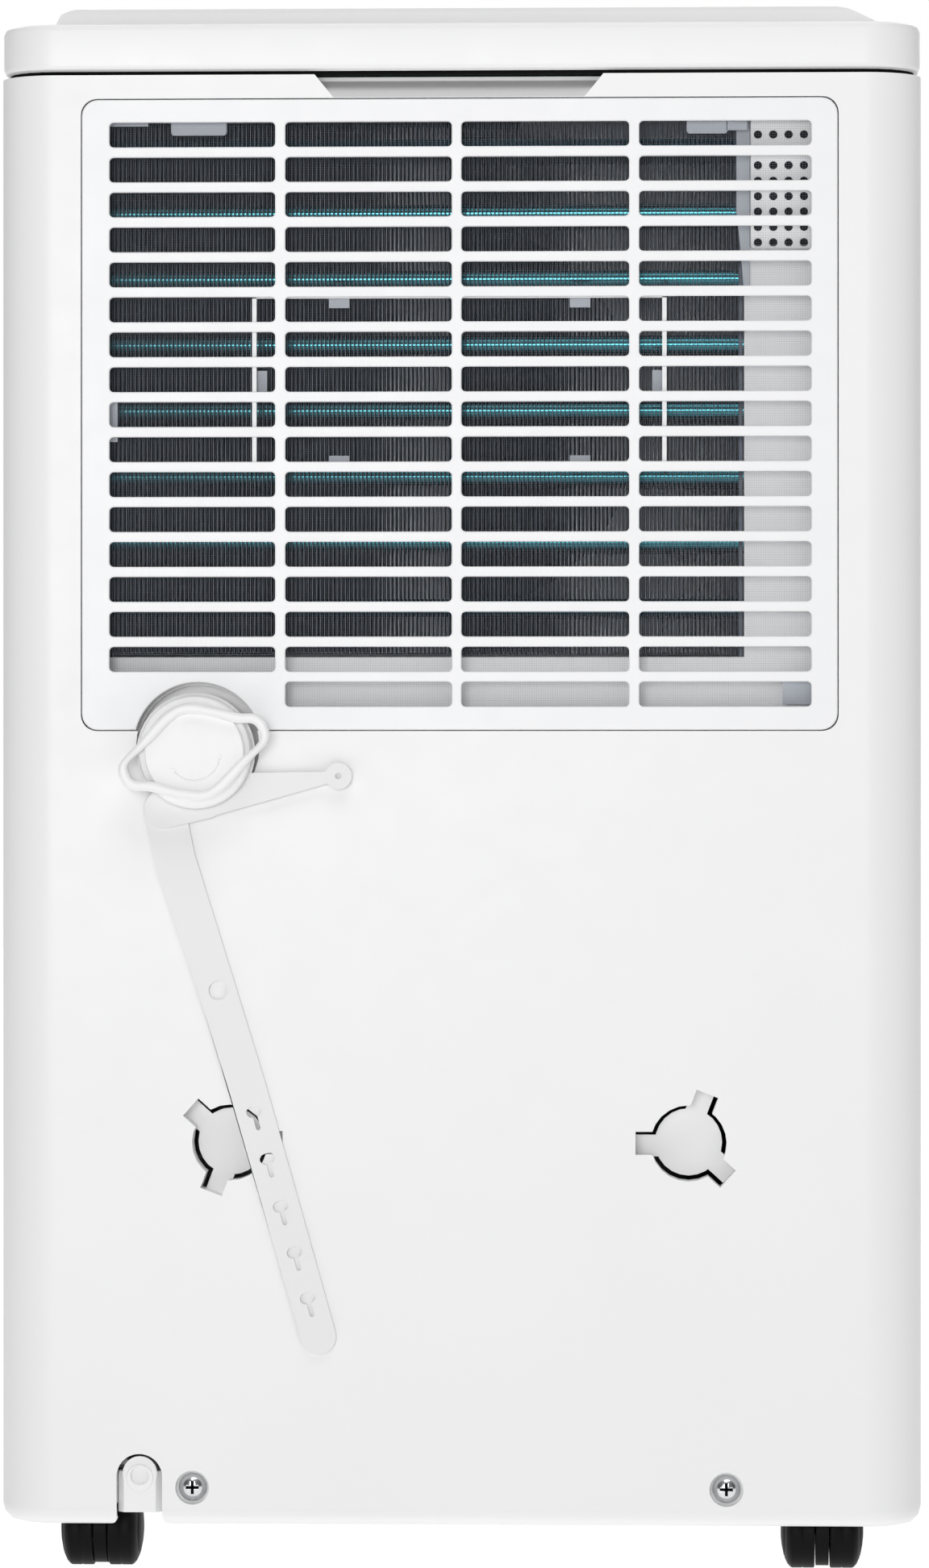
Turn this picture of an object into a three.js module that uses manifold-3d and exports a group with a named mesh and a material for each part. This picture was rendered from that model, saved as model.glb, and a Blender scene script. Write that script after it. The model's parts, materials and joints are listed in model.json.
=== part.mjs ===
// A portable compressor dehumidifier, as an assembly of named solids.
// Units are millimetres, +Z is up, and the origin is on the floor under the middle of the object.
// The rear face, with the air filter and the drain port, looks towards -Y; the water bucket is at +Y.
import * as THREE from "three";
import { mergeVertices } from "three/addons/utils/BufferGeometryUtils.js";
import Module from "manifold-3d";

const wasm = await Module();
wasm.setup();

// ---- Driving dimensions ----
const HALF_WIDTH = 180;
const REAR = -127; // the cabinet's rear face
const FRONT = 142; // the cabinet's front face
const PARTING = 30; // where the rear cabinet meets the front cabinet
const BODY_BOTTOM = 18.7;
const BODY_TOP = 583.4;
const TOTAL_HEIGHT = 617;
const WALL = 2.5;
const GAP = 0.3; // between pieces that touch
const REAR_CORNER = 22;
const FRONT_CORNER = 28;
const BOTTOM_RADIUS = 7;
const PLAN_STEPS = 5; // straight pieces in each quarter round of the plan

const LID_BOTTOM = 585;
const LID_TOP = 603.5;
const CONSOLE_REAR = -68;
const CONSOLE_FRONT = 122;

// The removable filter panel in the rear face.
const PANEL = { halfWidth: 147, bottom: 328.4, top: 573.8, corner: 6.3, face: 2.8, depth: 7.4 };
const SLOT = {
  columns: [[-136.2, -71.6], [-67.6, -2.8], [1, 66.1], [70.1, 136.8]], // the left and right end of each
  rows: 17, pitchZ: 13.61, height: 9.65, topZ: 560.1,
};
const SCOOP = { low: 48, high: 57, depth: 11 }; // half widths at its bottom and top
const TRAY_WALL = 2;
const TRAY_DEPTH = 10.2; // from the rear face to the back of the ledge that the panel closes on
const LEDGE = 7; // how far that ledge reaches in

// The drain port and what hangs on it.
const DRAIN = { x: -102.2, z: 319.7, radius: 13.2, bore: 9.5 };
const POCKET = { x: -101.7, z: 321.9, radius: 24.1, floor: -115 };
const TETHER_STUD = { x: -114.7, z: 297.7 };
const TETHER_BUTTON = { x: -46.7, z: 310.5, radius: 5.2, dimple: 1.25 };
const STUD_RADIUS = 2.1;
const STRAP_THICKNESS = 1.3;

// Twist-lock receivers for the cord hooks, screws and the cord outlet, all in the rear face.
const HOOK = {
  x: 89.2, z: 167.9, radius: 14.8, tabReach: 20.6, tabWidth: 9, tabSpread: 69, floor: -116.2, slit: 1.7,
};
const SCREW = { x: 103.9, z: 33.5, pocket: 6.6 };
const CORD_NOTCH = { x: -124.55, radius: 8.95, centreZ: 37.6, flare: 3.4 };

// Casters.
const CASTER = { x: 141.5, rearY: -90, frontY: 104, trail: 8, radius: 15, halfWidth: 16.2 };
const WELL_RADIUS = 30;
const WELL_TOP = 44;

// The heat exchangers, behind the filter.
const COIL = { left: -140, right: 110, bottom: 359, top: 567 };
const EVAPORATOR_Y = [-110.5, -90];
const CONDENSER_Y = [-86, -50];

// Blower: a forward-curved wheel in a scroll that blows up through the lid.
const FAN = { x: -10, z: 455, wheelRadius: 88, bladeRoot: 72, blades: 15 };
const SCROLL_Y = [-44, 28];

// Bucket bay and bucket.
const BAY_WALL_Y = 4;
const BAY_CEILING = 300;
const BUCKET = {
  halfWidth: 150, narrow: 107, step: 52.5, rear: 12, front: 133, bottom: 30, top: 215, corner: 12, wall: 2.5,
};
const FASCIA = { halfWidth: 158, bottom: 24.6, top: 262, corner: 7.7, back: 136.5 };
const HANDLE = { y: 60, z: 223, reach: 58, halfWidth: 134 };
const FLOAT_PIVOT = { x: -60, z: 200 };
const SWITCH_PIVOT = { x: 70, y: 24, z: 284 };
const COMPRESSOR = { x: 55, y: -59, radius: 54, bottom: 36.3, top: 226 };

// ---- Shape helpers ----
const AXIS_BASIS = {
  x: new THREE.Matrix4().makeBasis(
    new THREE.Vector3(0, 1, 0), new THREE.Vector3(0, 0, 1), new THREE.Vector3(1, 0, 0)),
  y: new THREE.Matrix4().makeBasis(
    new THREE.Vector3(1, 0, 0), new THREE.Vector3(0, 0, 1), new THREE.Vector3(0, -1, 0)),
  z: new THREE.Matrix4(),
};

// A closed geometry as a manifold-3d solid, facing out.
function solid(geometry) {
  const bare = new THREE.BufferGeometry();
  bare.setAttribute("position", geometry.getAttribute("position"));
  bare.setIndex(geometry.index);
  const merged = mergeVertices(bare, 1e-4);
  const faces = [];
  for (let i = 0; i < merged.index.count; i += 3) {
    const [a, b, c] = [0, 1, 2].map((k) => merged.index.getX(i + k));
    if (a !== b && b !== c && c !== a) faces.push(a, b, c);
  }
  const build = (triVerts) => new wasm.Manifold(new wasm.Mesh({
    numProp: 3,
    vertProperties: new Float32Array(merged.attributes.position.array),
    triVerts: new Uint32Array(triVerts),
  }));
  const made = build(faces);
  if (made.volume() >= 0) return made;
  const turned = [];
  for (let i = 0; i < faces.length; i += 3) turned.push(faces[i], faces[i + 2], faces[i + 1]);
  return build(turned);
}

function union(...solids) {
  return solids.reduce((whole, next) => whole.add(next));
}

function cut(base, ...tools) {
  return tools.reduce((left, tool) => left.subtract(tool), base);
}

function box([x0, x1], [y0, y1], [z0, z1]) {
  const geometry = new THREE.BoxGeometry(x1 - x0, y1 - y0, z1 - z0);
  geometry.translate((x0 + x1) / 2, (y0 + y1) / 2, (z0 + z1) / 2);
  return solid(geometry);
}

// A shape swept along an axis, its ends rounded over by bevel.
// The shape's plane is XY for z, XZ for y and YZ for x.
function prism(axis, shape, from, to, { bevel = 0, bevelSegments = 2, curveSegments = 3 } = {}) {
  const geometry = new THREE.ExtrudeGeometry(shape, {
    depth: to - from - 2 * bevel,
    steps: 1,
    curveSegments,
    bevelEnabled: bevel > 0,
    bevelThickness: bevel,
    bevelSize: bevel,
    bevelOffset: -bevel,
    bevelSegments,
  });
  geometry.applyMatrix4(AXIS_BASIS[axis]);
  const shift = axis === "y" ? to - bevel : from + bevel;
  geometry.translate(axis === "x" ? shift : 0, axis === "y" ? shift : 0, axis === "z" ? shift : 0);
  return solid(geometry);
}

function polygon(points) {
  return new THREE.Shape(points.map(([u, v]) => new THREE.Vector2(u, v)));
}

function circle(u, v, radius, sides = 12) {
  const points = [];
  for (let i = 0; i < sides; i++) {
    const angle = (2 * Math.PI * i) / sides;
    points.push([u + radius * Math.cos(angle), v + radius * Math.sin(angle)]);
  }
  return polygon(points);
}

function roundedRectangle(u0, u1, v0, v1, radius) {
  const shape = new THREE.Shape();
  shape.absarc(u1 - radius, v0 + radius, radius, -Math.PI / 2, 0);
  shape.absarc(u1 - radius, v1 - radius, radius, 0, Math.PI / 2);
  shape.absarc(u0 + radius, v1 - radius, radius, Math.PI / 2, Math.PI);
  shape.absarc(u0 + radius, v0 + radius, radius, Math.PI, 1.5 * Math.PI);
  shape.closePath();
  return shape;
}

function rod(axis, radius, from, to, [u, v], sides = 12) {
  return prism(axis, circle(u, v, radius, sides), from, to);
}

// A profile of [radius, height] points turned about an axis through (u, v).
function turned(axis, profile, [u, v], sides = 12) {
  const geometry = new THREE.LatheGeometry(profile.map(([r, h]) => new THREE.Vector2(r, h)), sides);
  if (axis === "z") geometry.rotateX(Math.PI / 2).translate(u, v, 0);
  if (axis === "y") geometry.translate(u, 0, v);
  if (axis === "x") geometry.rotateZ(-Math.PI / 2).translate(0, u, v);
  return solid(geometry);
}

function tube(points, radius, { sides = 8, steps = 30 } = {}) {
  const places = points.map(([x, y, z]) => new THREE.Vector3(x, y, z));
  const path = new THREE.CatmullRomCurve3(places, false, "centripetal");
  return solid(new THREE.ExtrudeGeometry(circle(0, 0, radius, sides), { extrudePath: path, steps }));
}

// The outline between two circles of different size, as the hull of both.
function taperedBar([u0, v0, r0], [u1, v1, r1], sides = 8) {
  const along = Math.atan2(v1 - v0, u1 - u0);
  const points = [];
  for (let i = 0; i <= sides; i++) {
    const angle = along + Math.PI / 2 + (Math.PI * i) / sides;
    points.push([u0 + r0 * Math.cos(angle), v0 + r0 * Math.sin(angle)]);
  }
  for (let i = 0; i <= sides; i++) {
    const angle = along - Math.PI / 2 + (Math.PI * i) / sides;
    points.push([u1 + r1 * Math.cos(angle), v1 + r1 * Math.sin(angle)]);
  }
  return polygon(points);
}

// ---- Materials and the assembly ----
const finish = (color, roughness, metalness = 0, opacity = 1) =>
  new THREE.MeshStandardMaterial({
    color, roughness, metalness, opacity, transparent: opacity < 1, flatShading: true,
  });
const MATERIALS = {
  white: finish(0xf2f2f3, 0.38),
  innerWhite: finish(0xe6e8ea, 0.5),
  translucent: finish(0xeceeee, 0.35, 0, 0.8),
  smoked: finish(0x1b1e22, 0.12, 0, 0.6),
  clear: finish(0xd7e2e6, 0.08, 0, 0.35),
  black: finish(0x0d0d0e, 0.5),
  foam: finish(0x111112, 0.9),
  netting: finish(0x9a9da2, 0.8),
  blueFin: finish(0x1d4a5c, 0.35, 0.8),
  aluminium: finish(0xb9bcc0, 0.35, 0.9),
  copper: finish(0xb87345, 0.3, 1),
  steel: finish(0xc8c9cb, 0.25, 1),
  paintedSteel: finish(0x222426, 0.45, 0.3),
  board: finish(0x1f5a35, 0.5),
};
const dehumidifier = new THREE.Group();

function add(name, shape, material) {
  const { numProp, vertProperties, triVerts, numVert } = shape.getMesh();
  const positions = new Float32Array(numVert * 3);
  for (let i = 0; i < numVert; i++) {
    positions.set(vertProperties.subarray(i * numProp, i * numProp + 3), i * 3);
  }
  const geometry = new THREE.BufferGeometry();
  geometry.setAttribute("position", new THREE.BufferAttribute(positions, 3));
  geometry.setIndex(new THREE.BufferAttribute(new Uint32Array(triVerts), 1));
  const mesh = new THREE.Mesh(geometry, MATERIALS[material]);
  mesh.name = name;
  dehumidifier.add(mesh);
}

// ---- Cabinet ----
// The cabinet's outline from above, moved in by inset.
function planOutline(inset) {
  const x = HALF_WIDTH - inset;
  const [rear, front] = [REAR + inset, FRONT - inset];
  const [r, f] = [REAR_CORNER - inset, FRONT_CORNER - inset];
  const shape = new THREE.Shape();
  shape.absarc(x - r, rear + r, r, -Math.PI / 2, 0);
  shape.absarc(x - f, front - f, f, 0, Math.PI / 2);
  shape.absarc(-x + f, front - f, f, Math.PI / 2, Math.PI);
  shape.absarc(-x + r, rear + r, r, Math.PI, 1.5 * Math.PI);
  shape.closePath();
  return shape;
}

const FAR = 700; // past every part of the object

function cabinetShell() {
  const above = BODY_TOP + 20;
  const [curveSegments, bevelSegments] = [PLAN_STEPS, 3];
  const outer = prism("z", planOutline(0), BODY_BOTTOM, above,
    { bevel: BOTTOM_RADIUS, bevelSegments, curveSegments });
  const inner = prism("z", planOutline(WALL), BODY_BOTTOM + WALL, above, { bevel: BOTTOM_RADIUS - WALL });
  const mouth = prism("z", planOutline(BOTTOM_RADIUS + 1.5), 0, BODY_BOTTOM + 2 * WALL);
  return cut(outer, inner, mouth).intersect(box([-FAR, FAR], [-FAR, FAR], [0, BODY_TOP]));
}

// The twist-lock opening: a circle with three tabs, one opposite the other two.
const hookTabs = (side) => [-HOOK.tabSpread, HOOK.tabSpread, 180]
  .map((turn) => THREE.MathUtils.degToRad((side < 0 ? 69 : 249) + turn));

// A quadrilateral drawn along one tab: from and to run outwards, low and high run across.
function alongTab(side, angle, [from, to], [low, high]) {
  const [c, s] = [Math.cos(angle), Math.sin(angle)];
  return polygon([[from, low], [to, low], [to, high], [from, high]].map(
    ([a, b]) => [side * HOOK.x + a * c - b * s, HOOK.z + a * s + b * c]));
}

function hookSolid(side, inset, from, to) {
  const half = HOOK.tabWidth / 2 - inset;
  const reach = HOOK.tabReach - inset * 0.4;
  const outlines = hookTabs(side).map((angle) => alongTab(side, angle, [4, reach], [-half, half]));
  outlines.push(circle(side * HOOK.x, HOOK.z, HOOK.radius - inset, 24));
  return union(...outlines.map((outline) => prism("y", outline, from, to)));
}

// A cup behind the opening. Its floor is slit along one edge of each tab and round to the next tab.
function hookReceiver(side) {
  const front = REAR + WALL + GAP;
  const cup = hookSolid(side, -2, front, HOOK.floor + 1.8);
  const hollow = hookSolid(side, 0, front - 1, HOOK.floor);
  const half = HOOK.tabWidth / 2;
  const bridge = [[6, HOOK.tabReach + 4], [HOOK.slit - half, half + 1.2]];
  const bridges = hookTabs(side).map((angle) =>
    prism("y", alongTab(side, angle, ...bridge), HOOK.floor - 2, HOOK.floor + 3));
  const slits = cut(hookSolid(side, 0, HOOK.floor - 1, HOOK.floor + 2.8),
    hookSolid(side, HOOK.slit, HOOK.floor - 2, HOOK.floor + 3), ...bridges);
  return cut(cup, hollow, slits);
}

const GRIP = { rear: -50, front: 24, bottom: 488, top: 514, depth: 18, lip: 8 };

// A moulded hand pocket in a side wall, and the space inside it.
function sideGrip(side) {
  const range = (a, b) => (side > 0 ? [a, b] : [-b, -a]);
  const wallX = HALF_WIDTH - WALL;
  const block = box(range(HALF_WIDTH - GRIP.depth - 2, wallX + 0.5),
    [GRIP.rear - 2, GRIP.front + 2], [GRIP.bottom - 2, GRIP.top + GRIP.lip + 2]);
  const mouth = box(range(HALF_WIDTH - GRIP.depth, HALF_WIDTH + 1),
    [GRIP.rear, GRIP.front], [GRIP.bottom, GRIP.top]);
  const behindLip = box(range(HALF_WIDTH - GRIP.depth, wallX),
    [GRIP.rear, GRIP.front], [GRIP.bottom, GRIP.top + GRIP.lip]);
  return { block, hollow: union(mouth, behindLip) };
}

function rearCabinet() {
  const inner = REAR + WALL;
  let body = cabinetShell().intersect(box([-FAR, FAR], [-FAR, PARTING], [0, FAR]));

  // The tray that takes the filter panel.
  const opening = (grow, y0, y1) => prism("y", roundedRectangle(
    -PANEL.halfWidth - 0.4 - grow, PANEL.halfWidth + 0.4 + grow,
    PANEL.bottom - 0.4 - grow, PANEL.top + 0.4 + grow, Math.max(PANEL.corner + grow, 1.5)), y0, y1);
  const trayBack = REAR + TRAY_DEPTH;
  const tray = opening(TRAY_WALL, inner - 0.5, trayBack);
  const window = opening(-LEDGE, REAR - 1, trayBack + 1);
  body = cut(union(body, tray), opening(0, REAR - 1, trayBack - TRAY_WALL), window);

  // The round drain pocket, which the panel is notched around.
  const at = [POCKET.x, POCKET.z];
  const pocketBlock = rod("y", POCKET.radius + 2, inner - 0.5, POCKET.floor + 2, at, 32);
  const behindPanel = box([-FAR, FAR], [REAR - 1, REAR + PANEL.depth + 0.5], [PANEL.bottom - 0.4, FAR]);
  body = union(body, cut(pocketBlock, behindPanel));
  body = cut(body,
    rod("y", POCKET.radius, REAR - 1, POCKET.floor, at, 32),
    rod("y", DRAIN.radius + 0.5, POCKET.floor - 1, POCKET.floor + 3, [DRAIN.x, DRAIN.z]));

  // The finger scoop above the panel: a ramp that deepens from the panel's top edge towards the lid.
  const scoop = (grow) => {
    const [top, low] = [BODY_TOP + (grow ? 0 : 1), PANEL.top + 0.6];
    const deep = SCOOP.depth + grow;
    const side = polygon([[REAR - 1, low - grow], [REAR, low - grow], [REAR + deep, top - 2.5],
      [REAR + deep, top], [REAR - 1, top]]);
    const front = polygon([[-SCOOP.low - grow, low - grow - 1], [SCOOP.low + grow, low - grow - 1],
      [SCOOP.high + grow, top], [-SCOOP.high - grow, top]]);
    return prism("x", side, -70, 70).intersect(prism("y", front, REAR - 2, REAR + 20));
  };
  const scoopBack = scoop(2).intersect(box([-FAR, FAR], [REAR + 0.5, FAR], [PANEL.top + 0.45, FAR]));
  body = cut(union(body, scoopBack), scoop(0));

  // Hook receivers, tether holes, screw pockets and the cord notch.
  const bosses = [-1, 1].map((side) =>
    rod("y", SCREW.pocket + 2, inner - 0.5, inner + 5, [side * SCREW.x, SCREW.z], 16));
  body = union(body, ...bosses);
  for (const side of [-1, 1]) {
    body = cut(body,
      hookSolid(side, 0, REAR - 1, inner + 1),
      rod("y", SCREW.pocket, REAR - 1, inner + 1.5, [side * SCREW.x, SCREW.z], 24),
      rod("y", 2.3, REAR, inner + 6, [side * SCREW.x, SCREW.z], 12));
    const grip = sideGrip(side);
    body = cut(union(body, grip.block), grip.hollow);
  }
  for (const hole of [TETHER_STUD, TETHER_BUTTON]) {
    body = cut(body, rod("y", STUD_RADIUS + 0.4, REAR - 1, inner + 1, [hole.x, hole.z], 12));
  }
  return cut(body, cordNotch());
}

// The arched notch for the cord, its mouth flaring out to the cabinet's lower edge.
function cordNotch() {
  const { x, radius, centreZ, flare } = CORD_NOTCH;
  const arch = new THREE.Shape();
  arch.moveTo(x - radius - flare - 2, BODY_BOTTOM - 2);
  arch.lineTo(x - radius - flare, BODY_BOTTOM - 0.1);
  arch.quadraticCurveTo(x - radius, BODY_BOTTOM, x - radius, BODY_BOTTOM + flare);
  arch.absarc(x, centreZ, radius, Math.PI, 0, true);
  arch.lineTo(x + radius, BODY_BOTTOM + flare);
  arch.quadraticCurveTo(x + radius, BODY_BOTTOM, x + radius + flare, BODY_BOTTOM - 0.1);
  arch.lineTo(x + radius + flare + 2, BODY_BOTTOM - 2);
  arch.closePath();
  return prism("y", arch, REAR - 1, REAR + WALL + 12, { curveSegments: 12 });
}

function frontCabinet() {
  const shell = cabinetShell().intersect(box([-FAR, FAR], [PARTING + GAP, FAR], [0, FAR]));
  const mouth = prism("y", roundedRectangle(-FASCIA.halfWidth - 0.6, FASCIA.halfWidth + 0.6,
    FASCIA.bottom - 0.6, FASCIA.top + 0.6, FASCIA.corner), FRONT - 12, FRONT + 1);
  return cut(shell, mouth);
}

// Each caster's swivel axis; all four axles trail towards the rear.
function casterPlaces() {
  return [["rear_left", -1, CASTER.rearY], ["rear_right", 1, CASTER.rearY],
    ["front_left", -1, CASTER.frontY], ["front_right", 1, CASTER.frontY]]
    .map(([name, side, y]) => ({ name, x: side * CASTER.x, y, trail: -CASTER.trail }));
}

const PAN_BOTTOM = BODY_BOTTOM + 2 * WALL + GAP;

function basePan() {
  const inset = WALL + 1;
  const floor = prism("z", planOutline(inset), PAN_BOTTOM + 3, PAN_BOTTOM + 5.5);
  const rim = cut(prism("z", planOutline(inset), PAN_BOTTOM + 3, WELL_TOP),
    prism("z", planOutline(inset + 2), PAN_BOTTOM + 2, WELL_TOP + 1));
  let pan = union(floor, rim);
  for (const { x, y } of casterPlaces()) {
    const well = rod("z", WELL_RADIUS + 2, PAN_BOTTOM + 3.4, WELL_TOP - 0.4, [x, y], 16)
      .intersect(prism("z", planOutline(inset + 0.6), 0, FAR));
    pan = union(pan, well, rod("z", 9, WELL_TOP - 2, WELL_TOP + 7.5, [x, y], 12));
  }
  for (const { x, y } of casterPlaces()) {
    const space = rod("z", WELL_RADIUS, 0, WELL_TOP - 2.5, [x, y], 16)
      .intersect(prism("z", planOutline(inset + 2.7), 0, FAR));
    pan = cut(pan, space, rod("z", 4.4, 0, WELL_TOP + 5.5, [x, y], 12));
  }
  // The compressor's raised mounting pad.
  pan = union(pan, rod("z", 62, PAN_BOTTOM + 5, PAN_BOTTOM + 12, [COMPRESSOR.x, COMPRESSOR.y], 16));
  // The rear rim steps back round the screw bosses and the cord gland; the bucket's front closes the mouth.
  const half = CORD_NOTCH.radius;
  return cut(pan,
    box([CORD_NOTCH.x - half, CORD_NOTCH.x + half], [REAR, REAR + 9.5], [0, WELL_TOP + 1.5]),
    box([-FAR, FAR], [FASCIA.back - 0.8, FAR], [0, FAR]),
    ...[-1, 1].map((side) =>
      rod("y", SCREW.pocket + 2.5, REAR, REAR + WALL + 5.4, [side * SCREW.x, SCREW.z], 16)));
}

// ---- Top: lid, console, outlet and controls ----
function consoleOutline(inset) {
  return polygon([
    [-166.2 + inset, LID_TOP + GAP], [-163.4 + inset, 610.2], [-161.2 + inset, 614.8],
    [-158.4 + inset, TOTAL_HEIGHT - 0.7 - inset], [-156 + inset, TOTAL_HEIGHT - inset],
    [148 - inset, TOTAL_HEIGHT - inset], [152.6 - inset, TOTAL_HEIGHT - 0.8 - inset],
    [165 - inset, 609.9], [173 - inset, LID_TOP + GAP]]);
}

// The console's outline from the side: a straight rear, a flat top and a slope to the front.
function consoleSide(inset) {
  return polygon([
    [CONSOLE_REAR + inset, LID_TOP + GAP], [CONSOLE_REAR + 2 + inset, TOTAL_HEIGHT - 3],
    [CONSOLE_REAR + 5 + inset, TOTAL_HEIGHT - inset], [CONSOLE_FRONT - 24 - inset, TOTAL_HEIGHT - inset],
    [CONSOLE_FRONT - 18 - inset, TOTAL_HEIGHT - 1.2 - inset], [CONSOLE_FRONT - inset, LID_TOP + GAP]]);
}

const OUTLET = { x0: -128, x1: 128, y0: -50, y1: 22 };
const CONTROLS = { x0: -112, x1: 112, y0: 44, y1: 92, thickness: 2 };
const BUTTON = { radius: 7, y: 68, travel: 1, xs: [-92, -70, -48, 48, 70, 92] };
const WINDOW = { halfWidth: 26, y0: 55, y1: 81 };

function topLid() {
  const outer = prism("z", planOutline(0.4), LID_BOTTOM, LID_TOP, { bevel: 2.6, curveSegments: PLAN_STEPS });
  const hollow = prism("z", planOutline(3), LID_BOTTOM - 1, LID_TOP - WALL);
  const hole = box([-150, 145], [CONSOLE_REAR + 8, CONSOLE_FRONT - 10], [LID_TOP - 5, LID_TOP + 1]);
  return cut(outer, hollow, hole);
}

// The foam strip under the lid; it lifts over the finger scoop's back wall.
function lidGasket() {
  return cut(prism("z", planOutline(4.5), BODY_TOP - 4, LID_BOTTOM + 9),
    prism("z", planOutline(8), BODY_TOP - 5, LID_BOTTOM + 10),
    box([-61, 61], [REAR, REAR + 15], [0, BODY_TOP + GAP]));
}

function topConsole() {
  const skin = 2.2;
  const outer = prism("y", consoleOutline(0), CONSOLE_REAR, CONSOLE_FRONT)
    .intersect(prism("x", consoleSide(0), -FAR, FAR));
  const inner = prism("y", consoleOutline(skin), CONSOLE_REAR + skin, CONSOLE_FRONT - skin)
    .intersect(prism("x", consoleSide(skin), -FAR, FAR));
  const below = TOTAL_HEIGHT - 8;
  const outlet = prism("z", roundedRectangle(OUTLET.x0, OUTLET.x1, OUTLET.y0, OUTLET.y1, 5),
    below, TOTAL_HEIGHT + 1);
  const recess = prism("z", roundedRectangle(CONTROLS.x0, CONTROLS.x1, CONTROLS.y0, CONTROLS.y1, 4),
    below, TOTAL_HEIGHT + 1);
  return cut(outer, inner, outlet, recess);
}

function outletGrille() {
  const [top, low] = [TOTAL_HEIGHT - 0.4, TOTAL_HEIGHT - 7];
  const edge = (inset) => roundedRectangle(OUTLET.x0 + inset, OUTLET.x1 - inset,
    OUTLET.y0 + inset, OUTLET.y1 - inset, 5 - inset / 2);
  let grille = cut(prism("z", edge(0.4), low, top), prism("z", edge(3), low - 1, top + 1));
  const vanes = 8;
  const pitch = (OUTLET.y1 - OUTLET.y0 - 6) / vanes;
  for (let i = 1; i < vanes; i++) {
    const y = OUTLET.y0 + 3 + i * pitch;
    const section = polygon([[y - 0.9, top - 0.4], [y + 0.9, top - 0.4],
      [y + 3.1, low + 0.4], [y + 1.3, low + 0.4]]);
    grille = union(grille, prism("x", section, OUTLET.x0 + 2, OUTLET.x1 - 2));
  }
  for (const x of [-43, 43]) {
    grille = union(grille, box([x - 1, x + 1], [OUTLET.y0 + 2, OUTLET.y1 - 2], [low + 0.8, top - 1]));
  }
  return grille;
}

function controlFascia() {
  const top = TOTAL_HEIGHT - 0.2;
  const shape = roundedRectangle(CONTROLS.x0 + GAP, CONTROLS.x1 - GAP,
    CONTROLS.y0 + GAP, CONTROLS.y1 - GAP, 3.7);
  const { halfWidth, y0, y1 } = WINDOW;
  const openings = BUTTON.xs.map((x) => circle(x, BUTTON.y, BUTTON.radius + 0.5, 16));
  openings.push(roundedRectangle(-halfWidth - GAP, halfWidth + GAP, y0 - GAP, y1 + GAP, 3));
  return cut(prism("z", shape, top - CONTROLS.thickness, top),
    prism("z", openings, top - CONTROLS.thickness - 1, top + 1));
}

// ---- Drain cap, its tether and the cord strap ----
const CAP = { tilt: 10.7, skirt: 21.9, sleeve: 16.2, disc: 19.4, back: -131, face: -138.6, front: -142 };

// Half of the grip's outer and inner edge, along the ears and across them; the other half is its negative.
const GRIP_OUTER = [
  [0, 19], [10, 15.9], [19.9, 11.7], [26.4, 10], [29.7, 5.6], [29.2, -0.8], [20.7, -7.4], [9.3, -16.2]];
const GRIP_INNER = [
  [0, 15.2], [9.6, 12.3], [17.6, 8.3], [24.4, 6.6], [26.4, 2.6], [25, -1.2], [15.6, -6.9], [6, -13.6]];

function gripOutline(half, steps) {
  const angle = THREE.MathUtils.degToRad(CAP.tilt);
  const [c, s] = [Math.cos(angle), Math.sin(angle)];
  const loop = [...half, ...half.map(([u, v]) => [-u, -v])];
  const curve = new THREE.CatmullRomCurve3(loop.map(([u, v]) =>
    new THREE.Vector3(DRAIN.x + u * c - v * s, DRAIN.z + u * s + v * c, 0)), true, "centripetal");
  return polygon(curve.getPoints(steps).slice(0, -1).map(({ x, y }) => [x, y]));
}

function drainCap() {
  const at = [DRAIN.x, DRAIN.z];
  const skirt = rod("y", CAP.skirt, CAP.face + 2, CAP.back, at, 32);
  const disc = rod("y", CAP.disc, CAP.face, CAP.face + 3, at, 32);
  const sleeve = rod("y", CAP.sleeve, CAP.face + 2, -118, at, 24);
  const grip = cut(prism("y", gripOutline(GRIP_OUTER, 44), CAP.front, CAP.face + 4),
    prism("y", gripOutline(GRIP_INNER, 36), CAP.front - 1, CAP.face + 5));
  const threadBore = rod("y", DRAIN.radius + 0.5, -134.5, -117, at, 24);
  const skirtHollow = cut(rod("y", CAP.skirt - 2, CAP.face + 3.6, CAP.back + 1, at, 32),
    rod("y", CAP.sleeve, CAP.face, CAP.back + 2, at, 24));
  return cut(union(skirt, disc, sleeve, grip), threadBore, skirtHollow);
}

function drainSpout() {
  const at = [DRAIN.x, DRAIN.z];
  const flange = rod("y", 18, POCKET.floor + 2 + GAP, POCKET.floor + 4.5, at, 24);
  const neck = rod("y", DRAIN.radius, -132.6, -94, at, 24);
  const riser = rod("z", 9, DRAIN.z, 334.1, [DRAIN.x, -101], 16);
  return cut(union(neck, flange, riser),
    rod("y", DRAIN.bore, -133, -97, at, 24),
    rod("z", 6, DRAIN.z, 335, [DRAIN.x, -101], 16));
}

const STRAP_FRONT = REAR - GAP - STRAP_THICKNESS;
const TETHER_Y = [STRAP_FRONT - GAP - 1.4, STRAP_FRONT - GAP];
const TETHER_RING = 23.1;

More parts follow.
